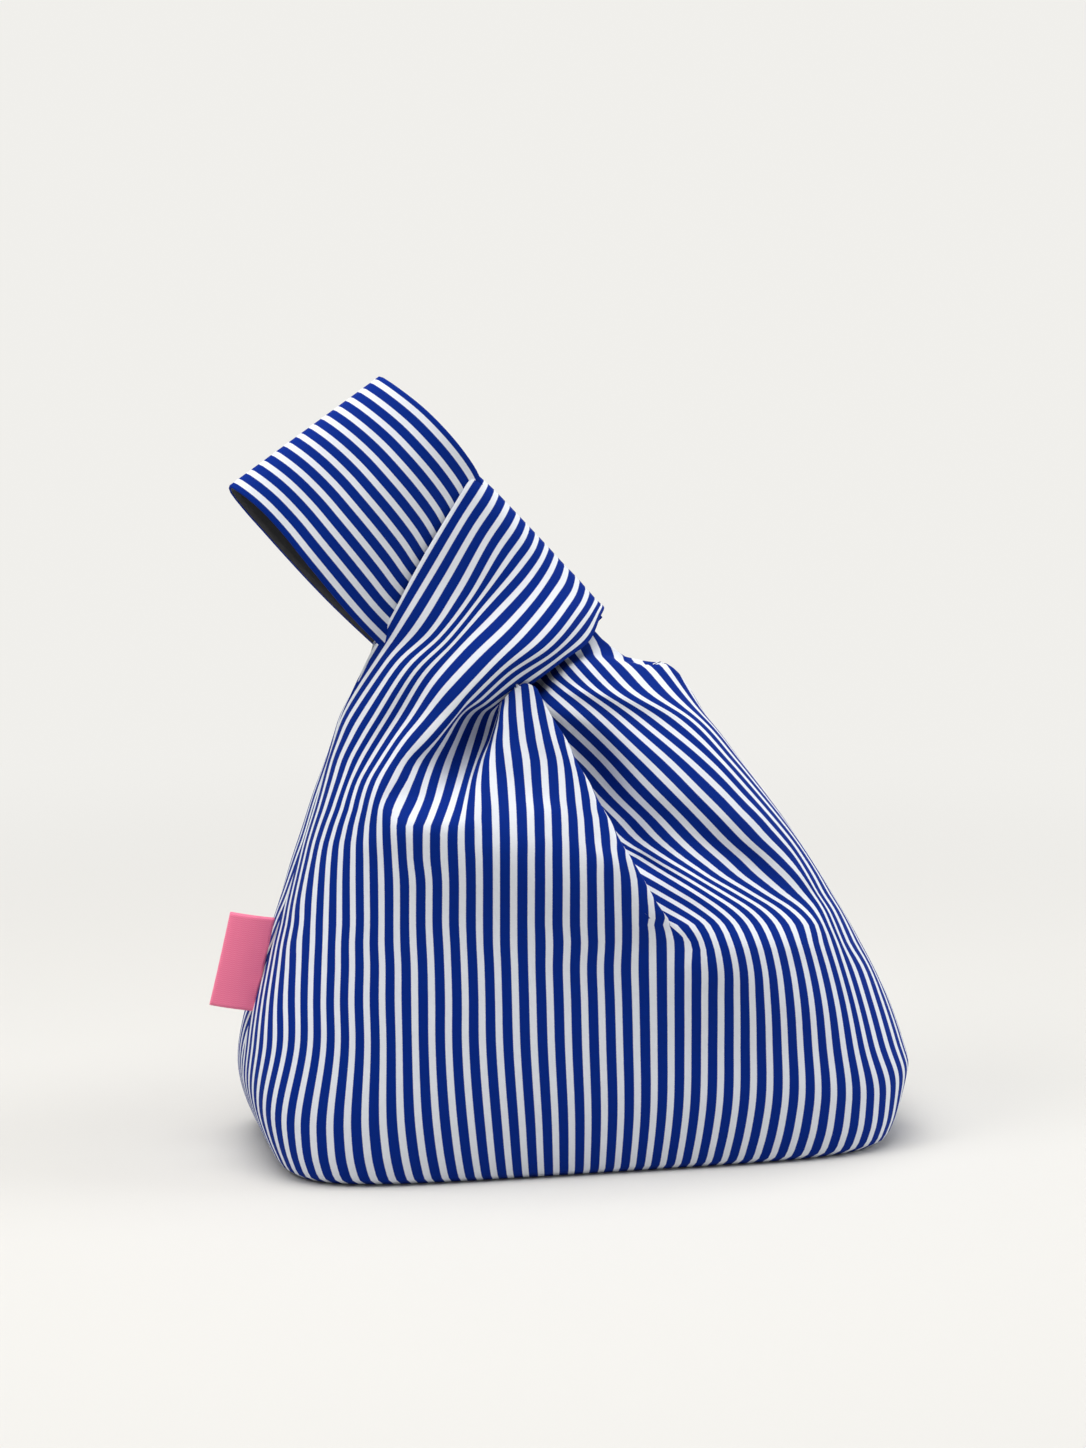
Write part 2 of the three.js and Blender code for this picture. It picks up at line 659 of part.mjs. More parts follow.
for (const [side, sign] of [["front", 1], ["back", -1]]) {
  const sheet = new Sheet();
  const rows = grid(BAND_COLUMNS, LOOP_STEPS, (s, t) =>
    onLoop(s, {
      along: spline(LOOP_PROFILE.map((p) => p.along), t),
      depth: sign * spline(LOOP_PROFILE.map((p) => p.depth), t),
    }),
  );
  const ids = sheet.addGrid(sign > 0 ? rows : rows.map((row) => [...row].reverse()));
  sheet.square(ids[0], point(0, 1, 0));
  sheet.lean(ids[0], point(0, BEVEL_RUN, 0));
  const bendTurn = radians(LOOP_TWIST);
  sheet.square(ids[LOOP_STEPS], point(Math.sin(bendTurn), 0, Math.cos(bendTurn)));
  addPart(loop, `long_handle_loop_${side}`, sheet.solid(OUTER_PLY), striped);
  addPart(loop, `long_handle_loop_lining_${side}`, sheet.solid(HANDLE_LINING_PLY), black);
}

// Label: a folded ribbon that stands out of the left side seam
const labelV = (() => {
  let v = 0;
  while (outline(v).z < LABEL_HEIGHT) v += 1e-3;
  return v;
})();
const labelFoot = onBody(0, labelV);
const seamRise = onBody(0, labelV + 0.02).sub(onBody(0, labelV - 0.02)).normalize();
const ribbon = new THREE.Shape();
const LABEL_HALF = LABEL_PLY + LABEL_FOLD_GAP / 2;
const bend = LABEL_REACH - LABEL_HALF;
ribbon.moveTo(0, LABEL_HALF);
ribbon.lineTo(0, LABEL_FOLD_GAP / 2);
ribbon.lineTo(bend, LABEL_FOLD_GAP / 2);
ribbon.absarc(bend, 0, LABEL_FOLD_GAP / 2, Math.PI / 2, -Math.PI / 2, true);
ribbon.lineTo(0, -LABEL_FOLD_GAP / 2);
ribbon.lineTo(0, -LABEL_HALF);
ribbon.lineTo(bend, -LABEL_HALF);
ribbon.absarc(bend, 0, LABEL_HALF, -Math.PI / 2, Math.PI / 2, false);
const label = new THREE.Group();
const seamLean = Math.atan2(seamRise.x, seamRise.z);
label.position.copy(labelFoot).add(point(-LABEL_CLEARANCE, 0, 0));
label.rotation.y = seamLean;
const ribbonGeometry = new THREE.ExtrudeGeometry(ribbon, {
  depth: LABEL_LENGTH,
  bevelEnabled: false,
  curveSegments: 5,
});
ribbonGeometry.translate(0, 0, -LABEL_LENGTH / 2);
ribbonGeometry.rotateZ(Math.PI);
addPart(label, "side_label", ribbonGeometry, pink);
bag.add(label);

// Stand the bag with the middle of its box over the origin.
bag.updateMatrixWorld(true);
const box = new THREE.Box3().setFromObject(bag, true);
bag.position.x = -(box.min.x + box.max.x) / 2;

export default bag;
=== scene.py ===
"""Japanese knot bag: striped cloth, black lining, wadding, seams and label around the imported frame.

Lengths are in millimetres until a mesh is made. The cloth is a net of rows. A row is given by numbered
stripes: where each blue stripe crosses it on a drawing of the bag as the camera sees it, and how deep the
cloth lies there.
"""

import math
from collections import namedtuple

import bmesh
import bpy
import numpy as np
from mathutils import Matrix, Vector

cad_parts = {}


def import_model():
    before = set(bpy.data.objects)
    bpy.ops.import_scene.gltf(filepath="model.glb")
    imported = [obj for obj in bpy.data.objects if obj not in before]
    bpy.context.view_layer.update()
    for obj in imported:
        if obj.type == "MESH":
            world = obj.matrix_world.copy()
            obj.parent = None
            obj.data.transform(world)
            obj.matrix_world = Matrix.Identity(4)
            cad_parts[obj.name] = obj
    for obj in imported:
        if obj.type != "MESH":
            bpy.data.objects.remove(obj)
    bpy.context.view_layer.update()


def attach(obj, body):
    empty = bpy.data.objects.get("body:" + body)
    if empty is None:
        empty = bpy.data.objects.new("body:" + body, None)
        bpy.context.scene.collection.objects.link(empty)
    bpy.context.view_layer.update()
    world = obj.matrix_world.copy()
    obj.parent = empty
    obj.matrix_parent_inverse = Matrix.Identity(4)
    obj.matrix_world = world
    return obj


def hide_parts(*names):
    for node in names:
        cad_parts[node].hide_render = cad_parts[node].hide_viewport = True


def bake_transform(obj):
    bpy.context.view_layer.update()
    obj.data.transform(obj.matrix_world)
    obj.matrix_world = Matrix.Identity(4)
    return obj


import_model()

MM = 0.001
TINY = 1e-9
WHOLE = slice(None)

# Camera, and the drawing: its unit in millimetres, and where the middle of the base lies on it
AZIMUTH = math.radians(-12)
ELEVATION = math.radians(11)
EYE_DISTANCE = 1600
UNIT = 0.371
IMAGE_WIDTH = 1086
IMAGE_HEIGHT = 1448
BASE_SEEN = (572, 1138)
PIVOT_HEIGHT = 130
BAG_SHIFT = 6.03

RIGHT = np.array([math.cos(AZIMUTH), math.sin(AZIMUTH), 0])
LEVEL = math.cos(ELEVATION)
BACK = np.array([math.sin(AZIMUTH) * LEVEL, -math.cos(AZIMUTH) * LEVEL, math.sin(ELEVATION)])
UP = np.cross(BACK, RIGHT)
PIVOT = np.array([BAG_SHIFT, 0, PIVOT_HEIGHT])


def on_drawing(x, y):
    """The point of the drawing's plane, which passes through the pivot."""
    across = (x - BASE_SEEN[0]) * UNIT
    up = (BASE_SEEN[1] - y) * UNIT - UP[2] * PIVOT_HEIGHT
    return PIVOT + RIGHT * across + UP * up


CENTRE = on_drawing(IMAGE_WIDTH / 2, IMAGE_HEIGHT / 2)
EYE = CENTRE + BACK * EYE_DISTANCE


def seen(x, y, depth):
    """The point at y = depth which the camera sees at (x, y) of the drawing."""
    ray = on_drawing(x, y) - EYE
    return EYE + ray * ((depth - EYE[1]) / ray[1])


def drawn(points):
    """Where the camera sees points, on the drawing."""
    away = np.asarray(points, float) - EYE
    scale = EYE_DISTANCE / -(away @ BACK)
    middle = CENTRE - PIVOT
    x = BASE_SEEN[0] + ((away @ RIGHT) * scale + middle @ RIGHT) / UNIT
    up = (away @ UP) * scale + middle @ UP + UP[2] * PIVOT_HEIGHT
    return x, BASE_SEEN[1] - up / UNIT


def through(knots, values, at):
    """Smooth values through given ones at rising knots."""
    knots = np.asarray(knots, float)
    values = np.asarray(values, float)
    at = np.atleast_1d(np.asarray(at, float))
    wide = (slice(None),) + (None,) * (values.ndim - 1)
    gaps = np.diff(knots)
    slopes = np.diff(values, axis=0) / gaps[wide]
    tangents = np.empty_like(values)
    tangents[0] = slopes[0]
    tangents[-1] = slopes[-1]
    before, after = gaps[:-1][wide], gaps[1:][wide]
    tangents[1:-1] = (slopes[:-1] * after + slopes[1:] * before) / (before + after)
    i = np.clip(np.searchsorted(knots, at, side="right") - 1, 0, len(knots) - 2)
    t = ((at - knots[i]) / gaps[i])[wide]
    gap = gaps[i][wide]
    return (
        (1 + 2 * t) * (1 - t) ** 2 * values[i]
        + t * (1 - t) ** 2 * gap * tangents[i]
        + t * t * (3 - 2 * t) * values[i + 1]
        + t * t * (t - 1) * gap * tangents[i + 1]
    )


def smooth(low, high, x):
    """A smooth rise from 0 at low to 1 at high."""
    t = np.clip((x - low) / (high - low), 0, 1)
    return t * t * (3 - 2 * t)


def unit(v):
    """The directions of vectors, at length 1."""
    return v / np.maximum(np.linalg.norm(v, axis=-1, keepdims=True), TINY)


def lengths(points):
    """The way along a line of points, from its first one to each."""
    return np.concatenate([[0], np.cumsum(np.linalg.norm(np.diff(points, axis=0), axis=1))])


def mirror(p):
    """The same place on the other side of the side seams' plane."""
    return np.asarray(p) * (1, -1, 1)


# Body outlines: height, shift, length, depth and squareness, as in the solids
OUTLINES = np.array(
    [
        [0, 0, 224, 107, 5],
        [7, 0, 235, 115, 5],
        [38, -0.5, 247, 118, 3.4],
        [100, -7, 198, 98, 2.8],
        [174, -22, 122, 48, 2.2],
    ]
)
LOFT_STEPS = 2000
SHARES = np.linspace(0, 1, LOFT_STEPS + 1)
LOFT = through(range(len(OUTLINES)), OUTLINES, SHARES * (len(OUTLINES) - 1))


def outline(z):
    """Shift, length, depth and squareness of the loft at height z."""
    return [np.interp(z, LOFT[:, 0], LOFT[:, i]) for i in range(1, 5)]


def on_outline(z, angle):
    """The loft's point at height z. The angle is 0 at the right seam and pi at the left one."""
    shift, length, depth, square = outline(z)
    c, s = np.cos(angle), np.sin(angle)
    r = (np.abs(c) ** square + np.abs(s) ** square) ** (-1 / square)
    x = BAG_SHIFT + shift + length / 2 * r * c
    return np.stack([x, -depth / 2 * r * s, np.broadcast_to(z, np.shape(x))], -1)


# Stripes: one pitch is a blue and a white stripe. Stripes are counted from near the left seam.
STRIPE = 6.09
LEFT_SEAM = -2.5
BELLY = OUTLINES[2, 0]
TURN_STEPS = 4000
TURN = np.linspace(math.pi, 0, TURN_STEPS + 1)
RUN = lengths(on_outline(BELLY, TURN))
RIGHT_SEAM = LEFT_SEAM + RUN[-1] / STRIPE


def wall(k, z):
    """The loft's point at stripe k and height z, also a little way round the seams."""
    k = np.asarray(k, float)
    folded = np.where(k < LEFT_SEAM, 2 * LEFT_SEAM - k, k)
    folded = np.where(folded > RIGHT_SEAM, 2 * RIGHT_SEAM - folded, folded)
    p = on_outline(z, np.interp((folded - LEFT_SEAM) * STRIPE, RUN, TURN))
    p[..., 1] *= np.where(folded == k, 1, -1)
    return p


IN_FRONT = -70.0
HALVINGS = 30


def loft_depth(x, y):
    """y of the loft's front where the camera sees (x, y) of the drawing."""
    near, far = IN_FRONT, 0.0
    for _ in range(HALVINGS):
        middle = (near + far) / 2
        p = seen(x, y, middle)
        shift, length, depth, square = outline(p[2])
        side = min(abs(p[0] - BAG_SHIFT - shift) / (length / 2), 1)
        front = -depth / 2 * (1 - side**square) ** (1 / square)
        if middle < front:
            near = middle
        else:
            far = middle
    return (near + far) / 2


SEAM_HEIGHTS = np.linspace(0, OUTLINES[-1, 0], 200)


def seam_at(k, y):
    """The loft's seam point which the camera sees at height y of the drawing."""
    points = wall(np.full(SEAM_HEIGHTS.shape, k), SEAM_HEIGHTS)
    _, heights = drawn(points)
    z = np.interp(-y, -heights, SEAM_HEIGHTS)
    return wall(k, z)


def relief(folds, x, y):
    """How far the folds stand out at (x, y) of the drawing. A fold is a line of points on the drawing,
    each with the height of its crest there, and a width."""
    total = 0
    for line, width in folds:
        best, height = math.inf, 0
        for (x0, y0, h0), (x1, y1, h1) in zip(line, line[1:]):
            dx, dy = x1 - x0, y1 - y0
            t = min(max(((x - x0) * dx + (y - y0) * dy) / (dx * dx + dy * dy), 0), 1)
            d = math.hypot(x0 + t * dx - x, y0 + t * dy - y) * UNIT
            if d < best:
                best, height = d, h0 + t * (h1 - h0)
        total += height * math.exp(-((best / width) ** 2))
    return total


# The body is full up to the folds, and slopes back above them
FULLNESS = [
    (
        [
            (330, 862, 2), (395, 832, 8), (480, 838, 10), (550, 852, 10),
            (600, 876, 9), (640, 904, 7), (690, 936, 4),
        ],
        24,
    ),
    ([(690, 940, 2), (715, 958, 5), (742, 968, 5), (774, 980, 5), (806, 992, 4), (840, 1008, 1)], 19),
]
LEFT_FOLDS = [
    # the trough on the left of the short handle's lower fold
    ([(340, 800, 0), (362, 765, -2), (388, 730, -3), (425, 676, -3)], 6),
]
TENT_FOLDS = [
    # the ridge of the tent
    ([(539, 690, 3), (575, 760, 5), (600, 810, 5), (624, 858, 5), (653, 900, 3), (690, 932, 0)], 13),
]
RIGHT_FOLDS = [
    # the side of the pleat that goes under the tent
    (
        [
            (690, 932, 0), (660, 905, -5), (640, 870, -11), (620, 830, -15),
            (600, 790, -16), (586, 762, -12), (578, 745, 0),
        ],
        12,
    ),
    # the edge over the right half of the belly, the valley above it, and the swell above that
    ([(705, 955, 0), (735, 950, 2), (775, 946, 2.5), (812, 934, 2), (832, 925, 0)], 7),
    ([(632, 815, 0), (664, 830, -4), (700, 848, -6), (735, 868, -6), (770, 888, -4), (800, 894, 0)], 9),
    ([(600, 712, 0), (645, 742, 4), (692, 770, 6), (724, 788, 6), (762, 822, 4), (794, 856, 0)], 11),
    # the dent at its right end
    ([(792, 908, -2), (806, 898, -2)], 7),
    # the soft pleat towards the right armhole
    ([(590, 690, 0), (640, 722, -3), (700, 772, -3), (745, 815, 0)], 7),
    ([(630, 690, 0), (672, 720, 2.5), (715, 765, 2), (745, 795, 0)], 6),
]


def row(y, stripes, folds):
    """A level row of the drawing: stripe number to x, with the depth taken from the loft and the folds.
    Where x comes with a second number, the cloth lies that much deeper."""
    made = []
    for k, place in stripes.items():
        x, sink = place if isinstance(place, tuple) else (place, 0)
        made.append((k, seen(x, y, loft_depth(x, y) - relief(FULLNESS + folds, x, y) + sink)))
    return made


def placed(*points):
    """A row of points given as (stripe, x, y, depth)."""
    return [(k, seen(x, y, depth)) for k, x, y, depth in points]


# Stripes at the tent's two edges, where it parts from the rest of the front
TENT_LEFT = 15
TENT_RIGHT = 28.5
# Heights of the rows on the loft alone, which run past both seams
LOW_HEIGHTS = [0, 2.2, 7, 20]
PAST_SEAM = 4
ALL_STRIPES = np.linspace(LEFT_SEAM - PAST_SEAM, RIGHT_SEAM + PAST_SEAM, 61)


def loft_row(z):
    return list(zip(ALL_STRIPES, wall(ALL_STRIPES, z)))


SIDE_STEPS = 80
SIDE_SHARES = (0.3, 0.6, 0.85, 1)


def round_side(start, y, side):
    """Goes on from a row's end point round the loft's side to the seam, which is left (-1) or right (1).
    Stripes keep their pitch, so the narrowing panel brings other stripes to the seam."""
    k, p = start
    seam = seam_at(LEFT_SEAM if side < 0 else RIGHT_SEAM, y)
    shift, length, depth, _ = outline(p[2])
    angle = math.atan2(-2 * p[1] / depth, 2 * (p[0] - BAG_SHIFT - shift) / length)
    t = np.linspace(0, 1, SIDE_STEPS + 1)
    goal = math.pi if side < 0 else 0
    path = on_outline(p[2] + (seam[2] - p[2]) * t, angle + (goal - angle) * t)
    path = path + (p - path[0]) * ((1 - t) ** 2)[:, None]
    run = lengths(path)
    made = []
    for share in SIDE_SHARES:
        place = [np.interp(run[-1] * share, run, path[:, i]) for i in range(3)]
        made.append((k + side * run[-1] * share / STRIPE, np.array(place)))
    return made


def to_left_seam(points, y):
    """A row that starts at the left seam. A mirrored point before it keeps the row square to the seam."""
    *rest, seam = round_side(points[0], y, -1)
    points = [*rest[::-1], *points]
    k, p = points[0]
    return [(2 * seam[0] - k, mirror(p)), seam, *points]


def to_right_seam(points, y):
    """A row that ends at the right seam, with a mirrored point after it."""
    *rest, seam = round_side(points[-1], y, 1)
    points = [*points, *rest]
    k, p = points[-1]
    return [*points, seam, (2 * seam[0] - k, mirror(p))]


def full_row(y, stripes):
    return to_right_seam(to_left_seam(row(y, stripes, TENT_FOLDS + RIGHT_FOLDS), y), y)


# Where each level row from seam to seam crosses the stripes, from the lowest row up
FULL_STRIPES = {
    1040: {
        3: 280, 5: 304, 8: 345, 11: 391, 15: 457, 18: 508, 22: 577, 25: 628,
        28.5: 688, 31: 729, 34: 777, 37: 822, 39: 849, 41: 870,
    },
    1000: {
        3: 280, 5: 304, 8: 344, 11: 390, 15: 457, 18: 507, 22: 576, 25: 627,
        28.5: 688, 31: 729, 34: 775, 37: 818, 39: 842, 41: 860,
    },
    965: {
        3.5: 287, 5: 305, 8: 345, 11: 390, 15: 456, 18: 506, 22: 575, 25: 626,
        28.5: 688, 31: 728, 34: 771, 37: 811, 39: 833, 41: 849,
    },
    942: {
        4: 293, 5: 306, 8: 345, 11: 389, 15: 455, 18: 505, 22: 576, 25: 627,
        26.5: 652.5, 28.5: 687.5, 30: 708, 32: 737, 34: 765, 36: 792, 38: 816, 40: 834, 42: 845,
    },
}
FULL_ROWS = [full_row(y, stripes) for y, stripes in FULL_STRIPES.items()]

# Left part and tent, which meet in the hollow: where each row crosses the folds, up to the tent's ridge
FOLD_STRIPES = {
    925: {4: 296, 5: 307, 8: 346, 11: 389, 15: 454, 18: 505, 22: 575, 25: 627, 26.5: 652.3, 27.7: 672.5},
    905: {4.2: 299, 5: 308, 8: 346, 11: 389, 15: 454, 18: 505, 22: 575, 25: 626.5, 26: 643.7, 26.9: 657},
    880: {
        4.5: 305.5, 5: 310.5, 8: 346, 11: 388.7, 15: 454, 18: 505, 22: 575,
        24: 608.8, 25: 625.8, 26: 642,
    },
    858: {5: 314, 8: 346.6, 11: 387.7, 13: 418, 15: 453, 18: 505, 22: 574.5, 24: 608, 25.45: 628},
    842: {
        5: 317.5, 8: 347.5, 10: (372.6, -1), 11: (386.8, -1), 12: (401.5, -1.2), 13: (417.7, -1.2),
        14: (435, -1), 15: (452.6, -0.5), 16: 469.6, 18: 505, 22: 574, 24.75: 617.5,
    },
    834: {
        5: 320, 8: 349, 10: (372.6, -1), 11: (386.5, -1.5), 12: (401, -1.8), 13: (417.8, -1.8),
        14: (435, -1.5), 15: (452.7, -1), 16: 469.6, 18: 504.8, 22: 573.6, 24.5: 613,
    },
    826: {
        5: 322.6, 8: 350.5, 10: (372.8, -1), 11: (386.3, -2), 12: (400.9, -2.2), 13: (418.2, -2.2),
        14: (436, -2), 15: (453.4, -1.2), 16: (469.6, -0.5), 18: 504.6, 22: 573.3, 24.35: 609.5,
    },
    818: {
        5: 325.5, 8: 352.6, 10: (373.6, -1.5), 11: (386.2, -2), 12: (402.8, -1), 13: (421.9, -0.7),
        14: (439, -0.5), 15: (455.8, -0.3), 16: 469.7, 18: 504.4, 22: 572.9, 24.15: 605.5,
    },
    810: {
        5: 328.5, 8: 355, 10: (374.8, -2), 11: (386.8, -1.5), 12: (407, 1), 13: (425, 1.5),
        14: (442, 2), 15: (458.4, 2), 16: (470, 0.5), 17: 486.6, 18: 504, 22: 572.2, 23.95: 600.5,
    },
    800: {
        5: 331.8, 8: 357.3, 10: (377.3, -2), 11: (390.4, 0.5), 12: (412, 3), 13: (428.7, 4.5),
        14: (445.6, 5), 15: (461, 5), 16: (471, 1.5), 17: 486, 18: 503.4, 20: 538, 22: 571, 23.6: 594.5,
    },
    780: {
        5: 338.5, 8: 364, 10: (385.3, -2), 11: (402.5, 1), 12: (418.7, 3.5), 13: (434, 6),
        14: (451.5, 10), 15: (466.5, 10.5), 16: (473.7, 5), 17: (485, 0.5), 18: 502, 20: 536.4,
        22: 569.5, 23.2: 584.5,
    },
    760: {
        5: 345, 8: 375.7, 10: (396.7, -1.5), 11: (412.8, 1), 12: (427, 4), 13: (441, 7.5),
        14: (457, 12), 15: (472.7, 13.5), 16: (479.6, 9), 17: (486, 2), 18: (500, -0.5), 20: 535,
        22: 566.5, 22.6: 572.5,
    },
    740: {
        5: 355, 8: 388.5, 10: (411.5, -1.5), 11: (432.5, -0.6), 12: (440.5, 3.4), 13: (451, 7.5),
        14: (464, 12.5), 15: (478.7, 15.5), 16: (488.5, 12.5), 17: (491, 6), 18: (498.7, -0.5),
        19: 514.4, 20: 531, 21: 547.6, 22.25: 564,
    },
    720: {
        5: 366.5, 8: 402, 10: (429, -1.5), 11: (450, -2), 12: (455, 3), 13: (461, 8),
        14: (473, 13.5), 15: (484.4, 16), 16: (494.5, 13), 17: (497, 6.5), 18: (500.5, 0.7),
        19: (512.5, 0.7), 20: (528.5, 0.7), 21.65: (552, 0.7),
    },
}
# Each part's rows go on past their join, so that the cloth runs smoothly through it
LAST_OF_LEFT = 18
FIRST_OF_TENT = 13


def left_row(y):
    stripes = {k: place for k, place in FOLD_STRIPES[y].items() if k <= LAST_OF_LEFT}
    return to_left_seam(row(y, stripes, LEFT_FOLDS + TENT_FOLDS), y)


def tent_row(y):
    stripes = {k: place for k, place in FOLD_STRIPES[y].items() if k >= FIRST_OF_TENT}
    return row(y, stripes, LEFT_FOLDS + TENT_FOLDS)


def right_row(y, stripes):
    return to_right_seam(row(y, stripes, RIGHT_FOLDS), y)


# Left part: from the left seam to the hollow, and on as the short handle to its fold
LEFT_ROWS = [left_row(y) for y in FOLD_STRIPES] + [
    placed(
        (1.4, 371, 652, 0), (3.5, 388.5, 659.4, -9.5), (5.5, 407, 667, -16), (8.5, 435, 678.7, -21),
        (9.5, 449, 684.5, -24.5), (10.5, 466, 691.8, -27), (11.5, 475, 695.4, -26.5),
        (13, 485, 700, -22.5), (15, 498, 705, -18),
    ),
    placed(
        (1.6, 394, 614, -8), (2.5, 403.5, 619.5, -10.5), (4.5, 430.5, 632.4, -14),
        (6.5, 446, 640.6, -16.5), (8.5, 461.5, 648.5, -19), (9.5, 476, 656, -23), (10.5, 492, 664, -25.5),
        (11.5, 502, 669.3, -25.5), (13, 513.5, 675, -24), (15, 531, 684, -20.5),
    ),
    placed(
        (1.6, 420, 567, -9), (3, 437.5, 578, -10), (5, 464, 595.5, -12), (8, 489, 611, -14.5),
        (10, 516, 628.5, -20.5), (12, 541.7, 645, -24), (15, 563, 660, -20.5),
    ),
    placed(
        (1.6, 457, 505, -7), (3, 471, 521, -8), (5, 494, 542, -8.5), (8, 526, 570, -10),
        (10, 548, 589, -12.5), (12, 571, 610, -15), (15, 592, 635, -13),
    ),
    placed(
        (1.6, 472, 481, -5), (3.5, 492.5, 502.3, -5.5), (5.5, 514.2, 525.2, -5.6),
        (7.5, 534, 546.2, -6), (9.5, 553, 566, -6.3), (11.5, 575.2, 589.3, -6.5),
        (13.5, 593, 607.6, -6.6), (15, 600, 615, -6),
    ),
    placed(
        (1.6, 477, 474, 0), (3.3, 494, 489.5, 0), (5.2, 515, 511.5, 0), (7.1, 533, 530.5, 0),
        (8.6, 547.5, 546, 0), (10.2, 563, 563, 0), (11.5, 577, 577.5, 0), (12.6, 588, 590, 0),
        (13.6, 597, 600, 0), (15, 603.5, 606, 0),
    ),
]
# the first row of the rear half, so that the fold is round
LEFT_ROWS.append([(k, mirror(p)) for k, p in LEFT_ROWS[-2]])

# Tent: the middle of the front, up to the neckline and to the ridge that laps over the right part
TENT_ROWS = [tent_row(y) for y in FOLD_STRIPES] + [
    placed(
        (15, 498, 705, -18), (16.5, 500, 703.5, -20.5), (18, 503, 700.5, -22.5),
        (19.2, 513.6, 690.7, -23), (20, 525, 685, -23.5), (21, 536, 688, -24.5),
    ),
]

# Right part: from under the tent to the right seam, then up and left under the short handle
RIGHT_STRIPES = {
    925: {28.3: 666, 29: 681, 30: 699, 32: 729, 34: 757, 36: 785, 38: 812, 40: 827, 42: 838},
    910: {28.7: 648, 30: 677, 32: 713, 34: 743, 36: 771, 38: 799, 40: 820, 42: 831},
    893: {29.4: 636, 31: 668, 32: 688, 34: 717, 36: 744, 38: 774, 40: 808, 42: 820},
    876: {30.2: 618, 32: 660, 34: 689, 36: 715, 38: 751, 40: 795, 42: 811},
    858: {31: 606, 32: 631, 34: 658, 36: 690, 38: 732, 40: 777, 41: 793, 42: 800},
    840: {31.5: 592, 34: 630, 36: 669, 38: 712, 40: 757, 41: 777, 42: 787},
    820: {32.1: 581, 34: 611, 36: 650, 38: 693, 40: 738, 41: 759, 42: 770},
    800: {32.8: 570, 35: 609, 37: 651, 39: 696, 41: 739, 42: 752},
    760: {34: 549, 36: 593, 38: 634, 40: 678, 42: 715},
    720: {35: (527, 5), 36: (550, 2), 37: 572, 39: 613, 41: 649, 43: 686},
}
RIGHT_ROWS = [right_row(y, stripes) for y, stripes in RIGHT_STRIPES.items()] + [
    placed(
        (34.6, 505, 716, -17), (37, 546, 696, -22), (39, 574, 690, -24.5), (41, 604, 690, -23.5),
        (43, 633.5, 684, -17), (44.6, 655, 672, -7), (45.8, 668, 664.5, -1),
    ),
    placed(
        (34, 496, 720, -11), (36.5, 535, 694, -15), (39, 556, 675, -18), (41, 578, 663, -18),
        (43, 608, 657, -11), (44.1, 633, 662, -2.2),
    ),
    placed(
        (33.6, 490, 722, -9), (36.4, 530, 692, -11), (39.5, 555, 664, -12), (41, 571, 655, -12),
        (43, 601, 639, -6.5),
    ),
    placed(
        (33.2, 455, 712, -7), (36, 487, 676, -7.5), (39.5, 529, 640, -7.5), (42, 556, 615, -7),
        (43.5, 576, 596, -5),
    ),
    placed(
        (33, 432, 690, -5.6), (36, 468, 655, -5.8), (39.5, 505, 616, -5.8), (42, 533, 590, -5.4),
        (44, 556, 568, -4),
    ),
]

# Levels, counted in rows: where the front parts into three strips, where the hollow and the left armhole
# start, and where the right part's rows stop at the seam and its armhole starts
SPLIT_LEVEL = len(LOW_HEIGHTS) + len(FULL_ROWS)
HOLLOW_LEVEL = SPLIT_LEVEL + len(FOLD_STRIPES)
MOUTH_LEVEL = SPLIT_LEVEL + len(RIGHT_STRIPES)
ROW_STEP = 2.6
Strip = namedtuple("Strip", "points stripes run marks knots")


def steps(knots, last):
    """Even steps between the rows up to row last, and the index of each row among them."""
    at, marks = [0.0], [0]
    for a, b in zip(knots[:last], knots[1 : last + 1]):
        n = max(1, round((b - a) / ROW_STEP))
        at.extend(a + (b - a) * (i + 1) / n for i in range(n))
        marks.append(len(at) - 1)
    return np.array(at), marks


def net(rows, edges, columns, last, shared=()):
    """A strip of cloth from its rows up to row last. edges give each row's first and last stripe. The
    lengths of cloth up to the first rows may be those of the strip beside it."""
    share = np.linspace(0, 1, columns + 1)
    points, stripes = [], []
    for made, (first, final) in zip(rows, edges):
        k = first + (final - first) * share
        points.append(through([a for a, _ in made], [b for _, b in made], k))
        stripes.append(k)
    gaps = np.linalg.norm(np.diff(points, axis=0), axis=-1).mean(axis=1)
    knots = list(shared) or [0.0]
    for gap in gaps[len(knots) - 1 :]:
        knots.append(knots[-1] + gap)
    at, marks = steps(knots, last)
    return Strip(through(knots, points, at), through(knots, stripes, at), at, marks, knots)


LOW_ROWS = [loft_row(z) for z in LOW_HEIGHTS] + FULL_ROWS


def low_edges(made):
    """The stripes at a low row's two seams."""
    if len(made) == len(ALL_STRIPES):
        return LEFT_SEAM, RIGHT_SEAM
    return made[1][0], made[-2][0]


def left_edges():
    edges = [(low_edges(made)[0], TENT_LEFT) for made in LOW_ROWS]
    for level, made in enumerate(LEFT_ROWS):
        at_seam = level < len(FOLD_STRIPES)
        edges.append((made[1 if at_seam else 0][0], TENT_LEFT))
    return edges


def tent_edges():
    edges = [(TENT_LEFT, TENT_RIGHT)] * SPLIT_LEVEL
    return edges + [(TENT_LEFT, made[-1][0]) for made in TENT_ROWS]


def right_edges():
    edges = [(TENT_RIGHT, low_edges(made)[1]) for made in LOW_ROWS]
    for level, made in enumerate(RIGHT_ROWS):
        at_seam = level < len(RIGHT_STRIPES)
        edges.append((made[0][0], made[-2 if at_seam else -1][0]))
    return edges


